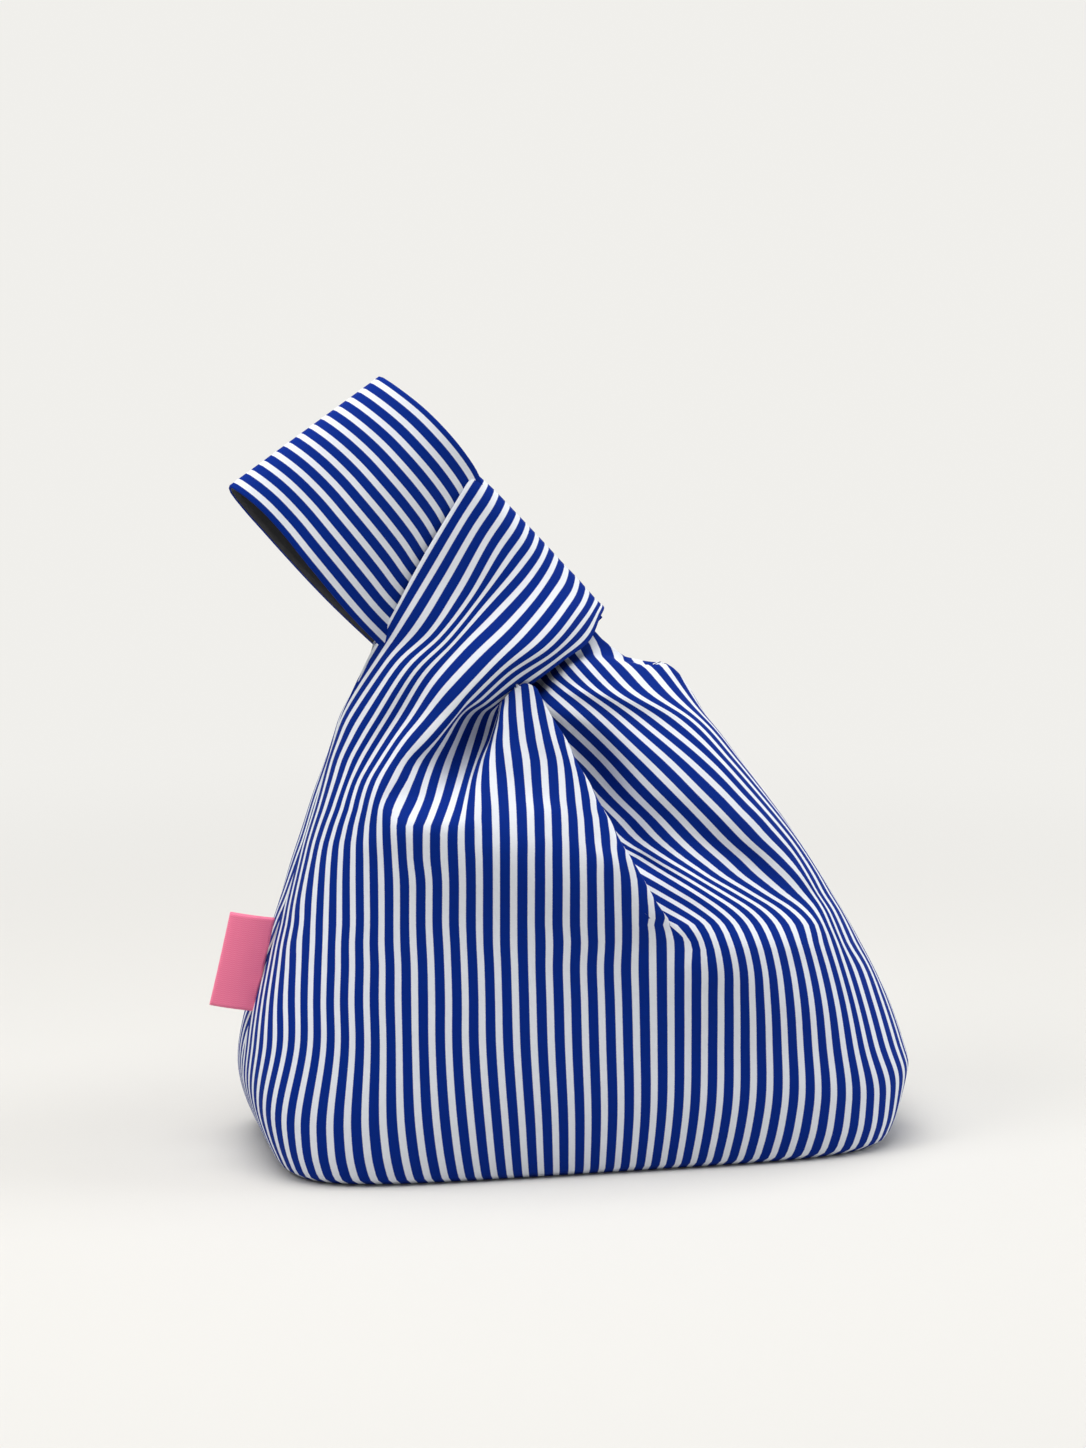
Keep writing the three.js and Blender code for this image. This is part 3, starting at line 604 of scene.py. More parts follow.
LEFT_COLUMNS = 46
TENT_COLUMNS = 36
RIGHT_COLUMNS = 58
left_rows = LOW_ROWS + LEFT_ROWS
tent_rows = LOW_ROWS + TENT_ROWS
right_rows = LOW_ROWS + RIGHT_ROWS
left = net(left_rows, left_edges(), LEFT_COLUMNS, len(left_rows) - 2)
shared = left.knots[: HOLLOW_LEVEL + 1]
tent = net(tent_rows, tent_edges(), TENT_COLUMNS, len(tent_rows) - 1, shared)
shared = left.knots[: SPLIT_LEVEL + 1]
right = net(right_rows, right_edges(), RIGHT_COLUMNS, len(right_rows) - 1, shared)
JOIN_REACH = 6


def join(a, b, upto):
    """Brings the last column of strip a and the first of strip b together below row upto."""
    end = a.marks[upto] + 1
    middle = (a.points[:end, -1] + b.points[:end, 0]) / 2
    for points, side in ((a.points, -1), (b.points, 1)):
        edge = points[:end, -1 if side < 0 else 0].copy()
        for i in range(JOIN_REACH):
            column = -1 - i if side < 0 else i
            points[:end, column] += (middle - edge) * (1 - i / JOIN_REACH)


join(left, tent, HOLLOW_LEVEL)
join(tent, right, SPLIT_LEVEL)

ON_SEAM = 1e-6
EVEN_PASSES = 12
HEM_TURNS = 5


def grid_normals(points):
    """Outward normals of a grid whose columns run to the right and whose rows run up."""
    across = np.gradient(points, axis=1)
    up = np.gradient(points, axis=0)
    normals = np.cross(across, up)
    for column in (0, -1):
        on_seam = np.abs(points[:, column, 1]) < ON_SEAM
        normals[on_seam, column, 1] = 0
    return unit(normals)


def evened(vectors):
    """Directions along an edge, with their quick changes taken out."""
    for _ in range(EVEN_PASSES):
        padded = np.concatenate([vectors[:1], vectors, vectors[-1:]])
        vectors = unit(padded[:-2] + 2 * padded[1:-1] + padded[2:])
    return vectors


def spread(run, columns):
    """The lengths along a strip, repeated in each column."""
    return np.repeat(run[:, None], columns, 1)


def square_to(out, n):
    """Directions out of an edge, made square to the cloth's normals there."""
    return unit(out - n * np.sum(out * n, axis=-1, keepdims=True))


def turned_under(edge, out, n, radius, facing):
    """Lines from an edge through a half turn and back below the cloth, and the way from the edge to each.
    radius and facing are one number, or one for each point of the edge."""
    radius = np.broadcast_to(radius, len(edge))
    facing = np.broadcast_to(facing, len(edge))
    lines, ways = [edge], [0 * radius]
    for i in range(1, HEM_TURNS + 1):
        a = math.pi * i / HEM_TURNS
        turned = out * math.sin(a) - n * (1 - math.cos(a))
        lines.append(edge + turned * radius[:, None])
        ways.append(radius * a)
    lines.append(lines[-1] - out * facing[:, None])
    ways.append(ways[-1] + facing)
    return lines, ways


def rolled(strip, side, rows, radius, facing):
    """Extra columns beyond a strip's left (-1) or right (1) edge: the cloth turned under round it.
    Returns grids of points, stripes and run, with the edge first."""
    column = 0 if side < 0 else -1
    inside = 1 if side < 0 else -2
    edge = strip.points[rows, column]
    n = evened(grid_normals(strip.points)[rows, column])
    out = square_to(evened(unit(edge - strip.points[rows, inside])), n)
    lines, ways = turned_under(edge, out, n, radius, facing)
    stripes = strip.stripes[rows, column][:, None] + side * np.stack(ways, 1) / STRIPE
    return np.stack(lines, 1), stripes, spread(strip.run[rows], len(lines))


def linked(name, data):
    """A new object of the scene."""
    made = bpy.data.objects.new(name, data)
    bpy.context.scene.collection.objects.link(made)
    return made


WELD = 0.02


class Cloth:
    """Grids of points with stripe and run values, gathered into one mesh."""

    def __init__(self, *grids):
        self.points, self.uvs, self.faces = [], [], []
        for grid in grids:
            self.add(*grid)

    def add(self, points, stripes, run, flip=False):
        rows, columns = points.shape[:2]
        start = len(self.points)
        self.points.extend(points.reshape(-1, 3))
        self.uvs.extend(np.stack([stripes, run / STRIPE], -1).reshape(-1, 2))
        for j in range(rows - 1):
            for i in range(columns - 1):
                a = start + j * columns + i
                face = (a, a + 1, a + columns + 1, a + columns)
                self.faces.append(face[::-1] if flip else face)

    def build(self, name, material, ply, back):
        """The cloth as a piece with this thickness, or its mirror image at the back."""
        points, faces = np.array(self.points), self.faces
        if back:
            points = mirror(points)
            faces = [face[::-1] for face in faces]
        mesh = bpy.data.meshes.new(name)
        mesh.from_pydata((points * MM).tolist(), [], faces)
        layer = mesh.uv_layers.new(name="Cloth")
        for loop in mesh.loops:
            layer.data[loop.index].uv = self.uvs[loop.vertex_index]
        work = bmesh.new()
        work.from_mesh(mesh)
        bmesh.ops.remove_doubles(work, verts=work.verts, dist=WELD * MM)
        work.to_mesh(mesh)
        work.free()
        mesh.polygons.foreach_set("use_smooth", [True] * len(mesh.polygons))
        mesh.materials.append(material)
        made = linked(name, mesh)
        solid = made.modifiers.new("ply", "SOLIDIFY")
        solid.thickness = ply * MM
        solid.offset = -1
        return made


# Materials
def nodes_of(name):
    material = bpy.data.materials.new(name)
    material.use_nodes = True
    tree = material.node_tree
    return material, Graph(tree), tree.nodes["Principled BSDF"]


class Graph:
    """Short names for making shader nodes."""

    def __init__(self, tree):
        self.tree = tree

    def node(self, kind, **settings):
        made = self.tree.nodes.new(kind)
        for key, value in settings.items():
            setattr(made, key, value)
        return made

    def link(self, source, target):
        if isinstance(source, (int, float, tuple)):
            target.default_value = source
        else:
            self.tree.links.new(source, target)

    def feed(self, node, values):
        """Links or sets a node's inputs, by their names."""
        for name, value in values.items():
            self.link(value, node.inputs[name])

    def filled(self, kind, *values, **settings):
        """The first output of a new node, whose inputs are linked or set in their order."""
        made = self.node(kind, **settings)
        for socket, value in zip(made.inputs, values):
            self.link(value, socket)
        return made.outputs[0]

    def math(self, operation, *values):
        return self.filled("ShaderNodeMath", *values, operation=operation)

    def mix(self, share, a, b):
        made = self.node("ShaderNodeMix", data_type="RGBA")
        self.link(share, made.inputs[0])
        self.link(a, made.inputs[6])
        self.link(b, made.inputs[7])
        return made.outputs[2]

    def mix_shader(self, share, a, b, target):
        self.link(self.filled("ShaderNodeMixShader", share, a, b), target)

    def range(self, value, *limits):
        """Takes a value smoothly from between the first two limits to between the last two."""
        return self.filled("ShaderNodeMapRange", value, *limits, interpolation_type="SMOOTHSTEP")

    def noise(self, vector, scale, detail=2.0):
        made = self.node("ShaderNodeTexNoise")
        self.feed(made, {"Vector": vector, "Scale": scale, "Detail": detail})
        return made.outputs["Fac"]

    def shown_ray(self):
        """1 for what the camera sees, also in a mirror or through glass."""
        path = self.node("ShaderNodeLightPath").outputs
        glossy = self.math("MAXIMUM", path["Is Glossy Ray"], path["Is Transmission Ray"])
        return self.math("MAXIMUM", path["Is Camera Ray"], glossy)

    def cloth_uv(self):
        """The place on the cloth, the stripe number and the run along it, all in stripes."""
        made = self.node("ShaderNodeUVMap", uv_map="Cloth")
        parts = self.node("ShaderNodeSeparateXYZ")
        self.link(made.outputs["UV"], parts.inputs[0])
        return made.outputs["UV"], parts.outputs[0], parts.outputs[1]

    def wave(self, value, count):
        """A sine with this many waves to a stripe."""
        return self.math("SINE", self.math("MULTIPLY", value, 2 * math.pi * count))

    def weave(self, u, v, threads):
        """Plain weave with this many threads to a stripe, from 0 to 1."""
        crossed = self.math("MULTIPLY", self.wave(u, threads), self.wave(v, threads))
        return self.math("MULTIPLY_ADD", crossed, 0.5, 0.5)

    def bump(self, height, strength, distance):
        made = self.node("ShaderNodeBump")
        self.feed(made, {"Height": height, "Strength": strength, "Distance": distance * MM})
        return made.outputs["Normal"]


# Striped cotton. Widths along the stripes' edges and noise scales go by the stripe's pitch.
# BLUE_DARK and WHITE_DARK are partly painted shade in the weave's dips, partly the yarn's own uneven tone.
BLUE = (0.0005, 0.025, 0.265, 1)
BLUE_DARK = (0.0004, 0.0175, 0.195, 1)
# The whites are tinted blue: partly the white yarn's own tint, partly painted blue bounce light from the
# blue stripes beside them.
WHITE = (0.805, 0.84, 0.91, 1)
WHITE_DARK = (0.73, 0.765, 0.845, 1)
THREADS = 9
BLUE_HALF = 0.297
EDGE_SOFT = 0.02
EDGE_WANDER = 0.03
EDGE_NOISE = 14.0
SLUB_NOISE = 3.0
SLUB_DETAIL = 3.0
WEAVE_SHARE = 0.6
NOISE_SPAN = (0.2, 0.8)
COTTON_ROUGH = (0.66, 0.8)


def striped_cloth():
    material, g, shader = nodes_of("striped_cotton")
    uv, u, v = g.cloth_uv()
    wander = g.math("MULTIPLY_ADD", g.noise(uv, EDGE_NOISE), EDGE_WANDER, -EDGE_WANDER / 2)
    place = g.math("FRACT", g.math("ADD", g.math("ADD", u, wander), 0.5))
    off = g.math("ABSOLUTE", g.math("SUBTRACT", place, 0.5))
    white = g.range(off, BLUE_HALF - EDGE_SOFT, BLUE_HALF + EDGE_SOFT, 0.0, 1.0)
    slub = g.noise(uv, SLUB_NOISE, SLUB_DETAIL)
    # tone darkens the blue and the white in two ways: where the weave dips, as painted shade in the weave's
    # hollows, and where the slub noise is low, as the yarn's own uneven tone.
    woven = g.math("MULTIPLY", g.weave(u, v, THREADS), WEAVE_SHARE)
    tone = g.math("ADD", woven, g.math("MULTIPLY", slub, 1 - WEAVE_SHARE))
    blue = g.mix(tone, BLUE_DARK, BLUE)
    pale = g.mix(tone, WHITE_DARK, WHITE)
    g.feed(shader, {
        "Base Color": g.mix(white, blue, pale),
        "Roughness": g.range(slub, *NOISE_SPAN, *COTTON_ROUGH),
        "Sheen Weight": 0.01,
        "Sheen Roughness": 0.5,
        "Specular IOR Level": 0.06,
        "Normal": g.bump(tone, strength=0.35, distance=0.25),
    })
    return material


LINING_BLACK = (0.010, 0.010, 0.012, 1)
LINING_GREY = (0.022, 0.022, 0.025, 1)
LINING_NOISE = 2.0
LINING_ROUGH = (0.55, 0.75)


def lining_cloth():
    material, g, shader = nodes_of("black_lining")
    uv, u, v = g.cloth_uv()
    weave = g.weave(u, v, THREADS)
    g.feed(shader, {
        "Base Color": g.mix(weave, LINING_BLACK, LINING_GREY),
        "Roughness": g.range(g.noise(uv, LINING_NOISE), *NOISE_SPAN, *LINING_ROUGH),
        "Sheen Weight": 0.1,
        "Normal": g.bump(weave, strength=0.3, distance=0.2),
    })
    return material


FLEECE_LIGHT = (0.80, 0.77, 0.70, 1)
FLEECE_DARK = (0.66, 0.63, 0.57, 1)
FIBRE_NOISE = 900.0
FIBRE_DETAIL = 5.0


def fleece():
    material, g, shader = nodes_of("wadding_fleece")
    place = g.node("ShaderNodeTexCoord").outputs["Object"]
    fibres = g.noise(place, FIBRE_NOISE, FIBRE_DETAIL)
    g.feed(shader, {
        "Base Color": g.mix(fibres, FLEECE_DARK, FLEECE_LIGHT),
        "Roughness": 0.95,
        "Sheen Weight": 0.3,
        "Normal": g.bump(fibres, strength=0.6, distance=0.4),
    })
    return material


PINK = (0.98, 0.25, 0.42, 1)
PINK_DARK = (0.9, 0.14, 0.28, 1)
RIBBON_RIBS = 8
RIBBON_TWILL = 7
RIBBON_ROUGH = (0.62, 0.5)


def ribbon():
    material, g, shader = nodes_of("pink_ribbon")
    _, u, v = g.cloth_uv()
    twill = g.wave(g.math("ADD", u, v), RIBBON_TWILL)
    height = g.math("MULTIPLY_ADD", g.math("ADD", g.wave(v, RIBBON_RIBS), twill), 0.25, 0.5)
    g.feed(shader, {
        "Base Color": g.mix(height, PINK_DARK, PINK),
        "Roughness": g.range(height, 0.0, 1.0, *RIBBON_ROUGH),
        "Sheen Weight": 0.15,
        "Normal": g.bump(height, strength=0.4, distance=0.15),
    })
    return material


STRIPED = striped_cloth()
BLACK = lining_cloth()
FLEECE = fleece()
PINK_RIBBON = ribbon()

# Front and back cloth
CLOTH_PLY = 0.7
HEM_RADIUS = 0.9
HEM_FACING = 2.5
HEM_START = 12
LIP_RADIUS = 2
LIP_END_RADIUS = 0.5
LIP_FACING = 7
LIP_FULL = (0.3, 0.5)


def grown_hem(strip, side, rows):
    """An armhole's hem, which starts from nothing at the side seam, where the two panels meet."""
    run = strip.run[rows]
    growth = smooth(0, HEM_START, run - run[0])
    return rolled(strip, side, rows, HEM_RADIUS * growth, HEM_FACING * growth)


def tent_lip():
    """The tent's ridge, turned under: round along the middle, and tight at both ends."""
    ridge = slice(tent.marks[SPLIT_LEVEL], None)
    run = tent.run[ridge]
    share = (run - run[0]) / (run[-1] - run[0])
    middle = smooth(0, LIP_FULL[0], share) * (1 - smooth(LIP_FULL[1], 1, share))
    radius = LIP_END_RADIUS + (LIP_RADIUS - LIP_END_RADIUS) * middle
    return rolled(tent, 1, ridge, radius, LIP_FACING)


def neckline():
    """The tent's upper edge, turned under."""
    edge, n = tent.points[-1], grid_normals(tent.points)[-1]
    out = square_to(edge - tent.points[-2], n)
    lines, _ = turned_under(edge, out, n, HEM_RADIUS, HEM_FACING)
    run = tent.run[-1] + np.linspace(0, HEM_FACING + math.pi * HEM_RADIUS, len(lines))
    stripes = np.repeat(tent.stripes[-1][None], len(lines), 0)
    return np.stack(lines), stripes, spread(run, len(edge))


PLEAT_ROWS = 40
PLEAT_COLUMNS = 8


def pleat():
    """The hidden fold between the tent's lip and the right part's edge under it."""
    lip, lip_stripes, lip_run = tent_lip()
    under = slice(right.marks[SPLIT_LEVEL], right.marks[MOUTH_LEVEL] + 1)
    share = np.linspace(0, 1, PLEAT_ROWS + 1)

    def even(values):
        return through(np.linspace(0, 1, len(values)), values, share)

    a, b = even(lip[:, -1]), even(right.points[under, 0])
    start, end = even(lip_stripes[:, -1]), even(right.stripes[under, 0])
    way = np.linspace(0, 1, PLEAT_COLUMNS + 1)
    grid = a[:, None] + (b - a)[:, None] * way[:, None]
    stripes = start[:, None] + (end - start)[:, None] * way
    return grid, stripes, spread(even(lip_run[:, -1]), len(way))


BASE_ROWS = 12
CORNER_DEPTH = 36


def base_flap():
    """Half of the base: from the foot of the front wall to the base seam."""
    foot = np.concatenate([left.points[0], tent.points[0, 1:], right.points[0, 1:]])
    stripes = np.concatenate([left.stripes[0], tent.stripes[0, 1:], right.stripes[0, 1:]])
    front = foot[:, 1] < -CORNER_DEPTH
    foot, stripes = foot[front], stripes[front]
    _, length, depth, square = outline(0)

    def half_length(y):
        return (length / 2) * (1 - np.abs(2 * y / depth) ** square) ** (1 / square)

    reach = np.abs(foot[[0, -1], 0] - BAG_SHIFT).mean()
    grid = []
    for j in range(BASE_ROWS, -1, -1):
        share = j / BASE_ROWS
        y = foot[:, 1] * (1 - share)
        wide = half_length(-CORNER_DEPTH * (1 - share)) / reach if j else 1
        x = BAG_SHIFT + (foot[:, 0] - BAG_SHIFT) * wide
        grid.append(np.stack([x, y, np.zeros_like(x)], -1))
    run = np.linspace(-depth / 2, 0, BASE_ROWS + 1)
    return np.array(grid), np.repeat(stripes[None], len(grid), 0), spread(run, len(stripes))


def front_cloth():
    cloth = Cloth()
    for strip in (left, tent, right):
        cloth.add(strip.points, strip.stripes, spread(strip.run, strip.points.shape[1]))
    armhole = slice(left.marks[HOLLOW_LEVEL], None)
    cloth.add(*grown_hem(left, -1, armhole), flip=True)
    cloth.add(*rolled(left, 1, armhole, HEM_RADIUS, HEM_FACING))
    cloth.add(*tent_lip())
    cloth.add(*neckline())
    cloth.add(*pleat())
    cloth.add(*grown_hem(right, 1, slice(right.marks[MOUTH_LEVEL], None)))
    cloth.add(*base_flap())
    return cloth


# Plies below the face: where the wadding and the lining lie, and how thick they are
WADDING_DEPTH = 1.1
WADDING_PLY = 1.0
BODY_LINING_DEPTH = 2.5
HANDLE_LINING_DEPTH = 2.0
LINING_EASE = 12
LINING_PLY = 0.6
# Margins, counted in columns and rows of the nets
SIDE_COLUMNS = 3
NECKLINE_MARGIN = 3
ARMHOLE_MARGIN = 2
SEAM_MARGIN = 6
BASE_MARGIN = 2


def sunk(strip, depth, rows, columns):
    """Part of a strip, moved in below its face. depth is one number or one for each row."""
    depth = np.broadcast_to(depth, strip.run.shape)[:, None, None]
    low = strip.points - grid_normals(strip.points) * depth
    run = spread(strip.run, strip.points.shape[1])
    return low[rows, columns], strip.stripes[rows, columns], run[rows, columns]


def lining_depth(strip, level):
    """Thinner from the mouth on, where the handle has no wadding."""
    top = strip.run[strip.marks[level]]
    drop = BODY_LINING_DEPTH - HANDLE_LINING_DEPTH
    return BODY_LINING_DEPTH - drop * smooth(top - LINING_EASE, top, strip.run)


def lining_cut():
    depth = lining_depth(right, MOUTH_LEVEL)
    mouth = right.marks[MOUTH_LEVEL]
    points, stripes, run = base_flap()
    return Cloth(
        sunk(left, lining_depth(left, HOLLOW_LEVEL), WHOLE, WHOLE),
        sunk(tent, BODY_LINING_DEPTH, slice(None, -1), WHOLE),
        sunk(right, depth, slice(None, mouth + 1), WHOLE),
        sunk(right, depth, slice(mouth, None), slice(None, -ARMHOLE_MARGIN)),
        (points + (0, 0, BODY_LINING_DEPTH), stripes, run),
    )


def wadding_cut():
    left_rows = slice(1, left.marks[HOLLOW_LEVEL] - NECKLINE_MARGIN)
    right_rows = slice(1, right.marks[MOUTH_LEVEL] - NECKLINE_MARGIN)
    points, stripes, run = (grid[:-BASE_MARGIN] for grid in base_flap())
    return Cloth(
        sunk(left, WADDING_DEPTH, left_rows, slice(SIDE_COLUMNS + 1, None)),
        sunk(tent, WADDING_DEPTH, slice(1, -NECKLINE_MARGIN), WHOLE),
        sunk(right, WADDING_DEPTH, right_rows, slice(None, -SIDE_COLUMNS - 1)),
        (points + (0, 0, WADDING_DEPTH), stripes, run),
    )


SEAM_PLY = 0.8
SEAM_FOOT_LEVEL = 2


def side_seam(strip, side, level):
    """Both allowances of a side seam, pressed open under the cloth, from the rear to the front.
    The column on the seam is the front panel's at the left and the rear panel's at the right."""
    away = np.abs(np.arange(-SIDE_COLUMNS, SIDE_COLUMNS + 1))
    rows = slice(strip.marks[SEAM_FOOT_LEVEL], strip.marks[level] - SEAM_MARGIN)
    points, stripes, run = sunk(strip, WADDING_DEPTH, rows, away if side < 0 else -1 - away)
    rear = SIDE_COLUMNS if side < 0 else SIDE_COLUMNS + 1
    points[:, :rear] = mirror(points[:, :rear])
    return Cloth((points, stripes, run))


BASE_SEAM_HALF = 9
BASE_SEAM_END = 4
BASE_SEAM_LIFT = 0.3
BASE_SEAM_WAVE = 0.25
BASE_SEAM_POINTS = (41, 7)


def base_seam():
    """Both allowances of the base seam, pressed open above the base."""
    reach = OUTLINES[0, 2] / 2 - BASE_SEAM_END
    flat = np.linspace(-1, 1, BASE_SEAM_POINTS[0]) * reach
    wide = np.linspace(BASE_SEAM_HALF, -BASE_SEAM_HALF, BASE_SEAM_POINTS[1])
    x, y = np.meshgrid(flat, wide)
    z = WADDING_DEPTH + BASE_SEAM_LIFT + BASE_SEAM_WAVE * np.cos(y / BASE_SEAM_HALF * math.pi)
    return Cloth((np.stack([x + BAG_SHIFT, y, z], -1), x / STRIPE, -y))


# The knot's frame: x across the long handle, y along it towards the loop, z towards the front
KNOT = np.array([-28.97, 0, 200])
LEAN = math.radians(43)
ACROSS = np.array([math.cos(LEAN), 0, math.sin(LEAN)])
ALONG = np.array([-math.sin(LEAN), 0, math.cos(LEAN)])
FRONT = np.array([0, -1, 0])


def from_knot(p):
    return KNOT + p[..., :1] * ACROSS + p[..., 1:2] * ALONG + p[..., 2:] * FRONT


# Long handle: its stripes, columns, hems and plies
HANDLE_STRIPES = (33, 45)
HANDLE_COLUMNS = 36
HANDLE_HEM = 0.45
HANDLE_FACING = 0.1
HANDLE_PLY = 0.5
HANDLE_LINING_SINK = 1.0
HANDLE_LINING_PLY = 0.4
# Rows across the long handle, each from its left edge to its right edge in the knot's frame.
# The front half starts tucked inside the root, and the rear half comes back there from the bend.
HANDLE_ROWS = [
    ((-35, -34, 2.2), (30.8, -34, 2)),
    ((-35, -20, 2.2), (30.8, -20, 2)),
    ((-35, -9, 2.5), (30.8, -9, 2.2)),
    ((-35, 2, 4.2), (30.8, 2, 2.7)),
    ((-34.5, 16, 5), (30.8, 16, 2.8)),
    ((-34.6, 30, 9), (31.4, 30, 3)),
    ((-34.3, 40, 12), (34.4, 39.5, 4.2)),
    ((-33.6, 50, 13.6), (35.8, 49, 5.6)),
    ((-32.5, 63, 13.6), (36.4, 60, 5)),
    ((-31.3, 75.6, 11.5), (36.2, 69.5, 1.8)),
    ((-31.2, 88, 9), (35, 79, -3)),
    ((-32.2, 95.4, 6), (34, 84.2, -7.5)),
    ((-33.2, 98.6, 2.5), (33.2, 86, -13)),
    ((-34.6, 96, -1), (31, 84.5, -18)),
    ((-35.4, 88.6, -3), (30.5, 80, -19.5)),
    ((-36, 76, -4.4), (30.5, 70, -17.5)),
    ((-36.5, 63, -5.2), (30.5, 60, -14.5)),
    ((-36.8, 50, -5.4), (30.5, 49, -11)),
    ((-36.8, 40, -5), (30.5, 39.5, -7.5)),
    ((-36.5, 30, -4.6), (30.2, 30, -5)),
    ((-35.8, 16, -4.4), (30, 16, -4.2)),
    ((-35, 2, -4.2), (30.8, 2, -2.7)),
    ((-35, -9, -2.5), (30.8, -9, -2.2)),
    ((-35, -20, -2.2), (30.8, -20, -2)),
    ((-35, -34, -2.2), (30.8, -34, -2)),
]


def handle_net():
    edges = np.array(HANDLE_ROWS, float)
    share = np.linspace(0, 1, HANDLE_COLUMNS + 1)[:, None]
    rows = edges[:, :1] + (edges[:, 1:] - edges[:, :1]) * share
    knots = lengths(rows[:, HANDLE_COLUMNS // 2])
    at, marks = steps(knots, len(knots) - 1)
    points = from_knot(through(knots, rows, at))
    stripes = np.linspace(*HANDLE_STRIPES, HANDLE_COLUMNS + 1)
    return Strip(points, np.repeat(stripes[None], len(at), 0), at, marks, knots)


handle = handle_net()


def handle_cloth():
    cloth = Cloth()
    cloth.add(handle.points, handle.stripes, spread(handle.run, HANDLE_COLUMNS + 1))
    cloth.add(*rolled(handle, -1, WHOLE, HANDLE_HEM, HANDLE_FACING), flip=True)
    cloth.add(*rolled(handle, 1, WHOLE, HANDLE_HEM, HANDLE_FACING))
    return cloth


def handle_lining():
    return Cloth(sunk(handle, HANDLE_LINING_SINK, WHOLE, WHOLE))


# Label: a folded ribbon in the left side seam
LABEL_FOOT = np.array([-110.875, 0, 69.35])
LABEL_RISE = np.array([0.23, 0, 0.973])
LABEL_OUT = np.array([-0.973, 0, 0.23])
LABEL_LENGTH = 35.6
LABEL_REACH = 15.5
LABEL_TUCK = 0.6
LABEL_HALF = 0.75
LABEL_PLY = 0.45
LABEL_CURL = 3.5
LABEL_LIFT = 0.4
LABEL_SKEW = 1.4
LABEL_BOW = 0.5
LABEL_BOW_START = 2
LABEL_ROWS = 28
LABEL_COLUMNS = 15
LABEL_TURNS = 8


def label_cloth():
    """From the seam out along the front ply, round the fold, and back along the rear ply."""
    bend = LABEL_REACH - LABEL_HALF
    out = np.linspace(-LABEL_TUCK, bend, LABEL_COLUMNS + 1)
    turn = np.linspace(0, math.pi, LABEL_TURNS + 1)[1:-1]
    ply = np.full(out.shape, LABEL_HALF)
    reach = np.concatenate([out, bend + LABEL_HALF * np.sin(turn), out[::-1]])
    depth = np.concatenate([ply, LABEL_HALF * np.cos(turn), -ply])
    rise = np.linspace(-LABEL_LENGTH / 2, LABEL_LENGTH / 2, LABEL_ROWS + 1)
    r, h = np.meshgrid(reach, rise)
    share = r / LABEL_REACH
    bow = LABEL_BOW * np.sin((h / LABEL_LENGTH + 0.5) * math.pi) * smooth(LABEL_BOW_START, LABEL_REACH, r)
    forward = depth + bow - LABEL_CURL * share**2
    risen = h + LABEL_LIFT + LABEL_SKEW * (1 - share)
    points = LABEL_FOOT + r[..., None] * LABEL_OUT + risen[..., None] * LABEL_RISE
    across = lengths(np.stack([reach, depth], 1)) / STRIPE
    cloth = Cloth()
    cloth.add(
        points + forward[..., None] * FRONT,
        np.repeat(across[None], len(rise), 0),
        h + LABEL_LENGTH / 2,
        flip=True,
    )
    return cloth


def dressed(cloth, name, material, ply, body, nodes, back=False):
    """The cloth as a piece that takes the place of these nodes. A piece given no body is left unattached.
    """
    made = cloth.build(name, material, ply, back)
    if body:
        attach(made, body)
    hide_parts(*nodes)
    return made


def dress_panels():
    outer_cut, lining, wadding = front_cloth(), lining_cut(), wadding_cut()
    for side, back in (("front", False), ("back", True)):
        nodes = [f"outer_{side}_panel", f"short_handle_{side}", f"long_handle_root_{side}"]
        piece = dressed(outer_cut, f"striped_{side}", STRIPED, CLOTH_PLY, "bag", nodes, back)
        nodes = [f"lining_{side}_panel", f"short_handle_lining_{side}", f"long_handle_root_lining_{side}"]
        piece = dressed(lining, f"black_{side}", BLACK, LINING_PLY, "bag", nodes, back)
        nodes = [f"wadding_{side}"]
        piece = dressed(wadding, f"fleece_{side}", FLEECE, WADDING_PLY, "bag", nodes, back)


def dress_seam(cloth, name, node):
    piece = dressed(cloth, name, STRIPED, SEAM_PLY, "bag", [node])


def handle_nodes(ply):
    return [f"long_handle_{part}{ply}_{side}" for part in ("strap", "loop") for side in ("front", "back")]


def dress_handle():
    """The long handle in one piece, shaped round its bend over the hinge between the strap and the loop,
    and baked in place without a body.
    """
    nodes = handle_nodes("")
    outer = dressed(handle_cloth(), "striped_handle", STRIPED, HANDLE_PLY, None, nodes)
    nodes = handle_nodes("_lining")
    inner = dressed(handle_lining(), "black_handle", BLACK, HANDLE_LINING_PLY, None, nodes)
    for piece in (outer, inner):
        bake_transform(piece)


def dress_label():
    nodes = ["side_label"]
    piece = dressed(label_cloth(), "pink_label", PINK_RIBBON, LABEL_PLY, "label", nodes)


dress_panels()
dress_seam(side_seam(left, -1, HOLLOW_LEVEL), "seam_left", "left_side_seam")
dress_seam(side_seam(right, 1, MOUTH_LEVEL), "seam_right", "right_side_seam")
dress_seam(base_seam(), "seam_base", "base_seam")
dress_handle()
dress_label()

# Floor, light and camera, in metres. Away from the bag the floor shows as the plain background.
BACKGROUND = (0.875, 0.865, 0.835, 1)
FLOOR_GREY = (0.66, 0.655, 0.635, 1)
FLOOR_RADIUS = 6
FLOOR_SIDES = 96
FLOOR_DROP = 0.0004
FLOOR_FADE = (0.2, 0.75)


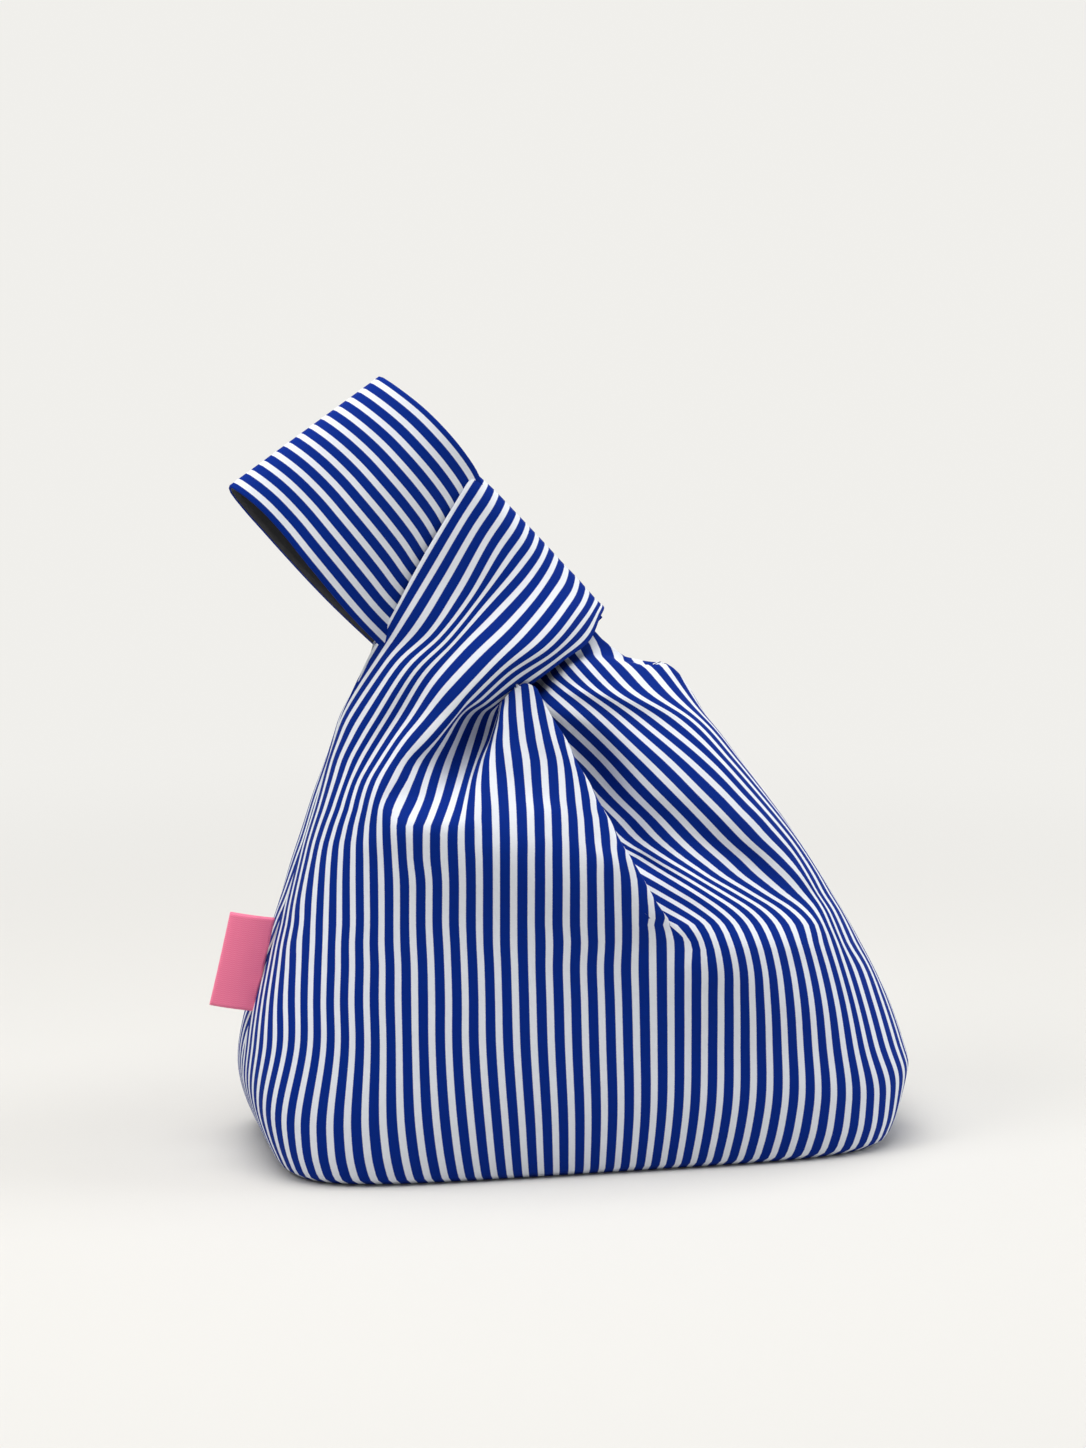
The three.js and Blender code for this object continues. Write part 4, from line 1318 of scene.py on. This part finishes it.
def stage():
    mesh = bpy.data.meshes.new("floor")
    turn = [2 * math.pi * i / FLOOR_SIDES for i in range(FLOOR_SIDES)]
    rim = [(FLOOR_RADIUS * math.cos(a), FLOOR_RADIUS * math.sin(a), -FLOOR_DROP) for a in turn]
    mesh.from_pydata(rim, [], [tuple(range(FLOOR_SIDES))])
    linked("floor", mesh)
    material, g, shader = nodes_of("floor")
    g.feed(shader, {"Base Color": FLOOR_GREY, "Roughness": 0.9})
    far = g.node("ShaderNodeVectorMath", operation="LENGTH")
    g.link(g.node("ShaderNodeNewGeometry").outputs["Position"], far.inputs[0])
    share = g.range(far.outputs["Value"], *FLOOR_FADE, 0.0, 1.0)
    glow = g.node("ShaderNodeEmission")
    g.feed(glow, {"Color": BACKGROUND})
    target = g.tree.nodes["Material Output"].inputs["Surface"]
    shown = g.math("MULTIPLY", share, g.shown_ray())
    g.mix_shader(shown, shader.outputs[0], glow.outputs[0], target)
    mesh.materials.append(material)


WORLD_TINT = (1, 0.995, 0.985, 1)
WORLD_STRENGTH = 0.18


def world():
    made = bpy.data.worlds.new("studio")
    bpy.context.scene.world = made
    made.use_nodes = True
    g = Graph(made.node_tree)
    light = g.tree.nodes["Background"]
    g.feed(light, {"Color": WORLD_TINT, "Strength": WORLD_STRENGTH})
    plain = g.node("ShaderNodeBackground")
    g.feed(plain, {"Color": BACKGROUND, "Strength": 1})
    target = g.tree.nodes["World Output"].inputs["Surface"]
    g.mix_shader(g.shown_ray(), light.outputs[0], plain.outputs[0], target)


def aimed(made, place, direction):
    made.location = place
    made.rotation_mode = "QUATERNION"
    made.rotation_quaternion = Vector(direction).to_track_quat("-Z", "Y")


# Lamps: place, size, power in watts and tint
AIM = (0, 0, 0.12)
WARM = (1, 0.985, 0.965)
COOL = (0.97, 0.985, 1)
LAMPS = {
    "key": ((-0.15, -0.12, 1.8), 1.7, 35.5, WARM),
    "left": ((-1.3, -0.35, 1.2), 0.8, 8, WARM),
    "right": ((1.5, -0.2, 0.75), 0.8, 10, COOL),
}


def lamps():
    for name, (place, size, power, tint) in LAMPS.items():
        lamp = bpy.data.lights.new(name, "AREA")
        lamp.shape = "DISK"
        lamp.size = size
        lamp.energy = power
        lamp.color = tint
        aimed(linked(name, lamp), place, np.array(AIM) - np.array(place))


SENSOR = 36
CLIP_END = 100


def camera():
    lens = bpy.data.cameras.new("camera")
    lens.sensor_width = SENSOR
    lens.lens = SENSOR * EYE_DISTANCE / (IMAGE_HEIGHT * UNIT)
    lens.clip_end = CLIP_END
    made = linked("camera", lens)
    aimed(made, EYE * MM, -BACK)
    bpy.context.scene.camera = made


stage()
world()
lamps()
camera()
bpy.context.scene.view_settings.view_transform = "Standard"
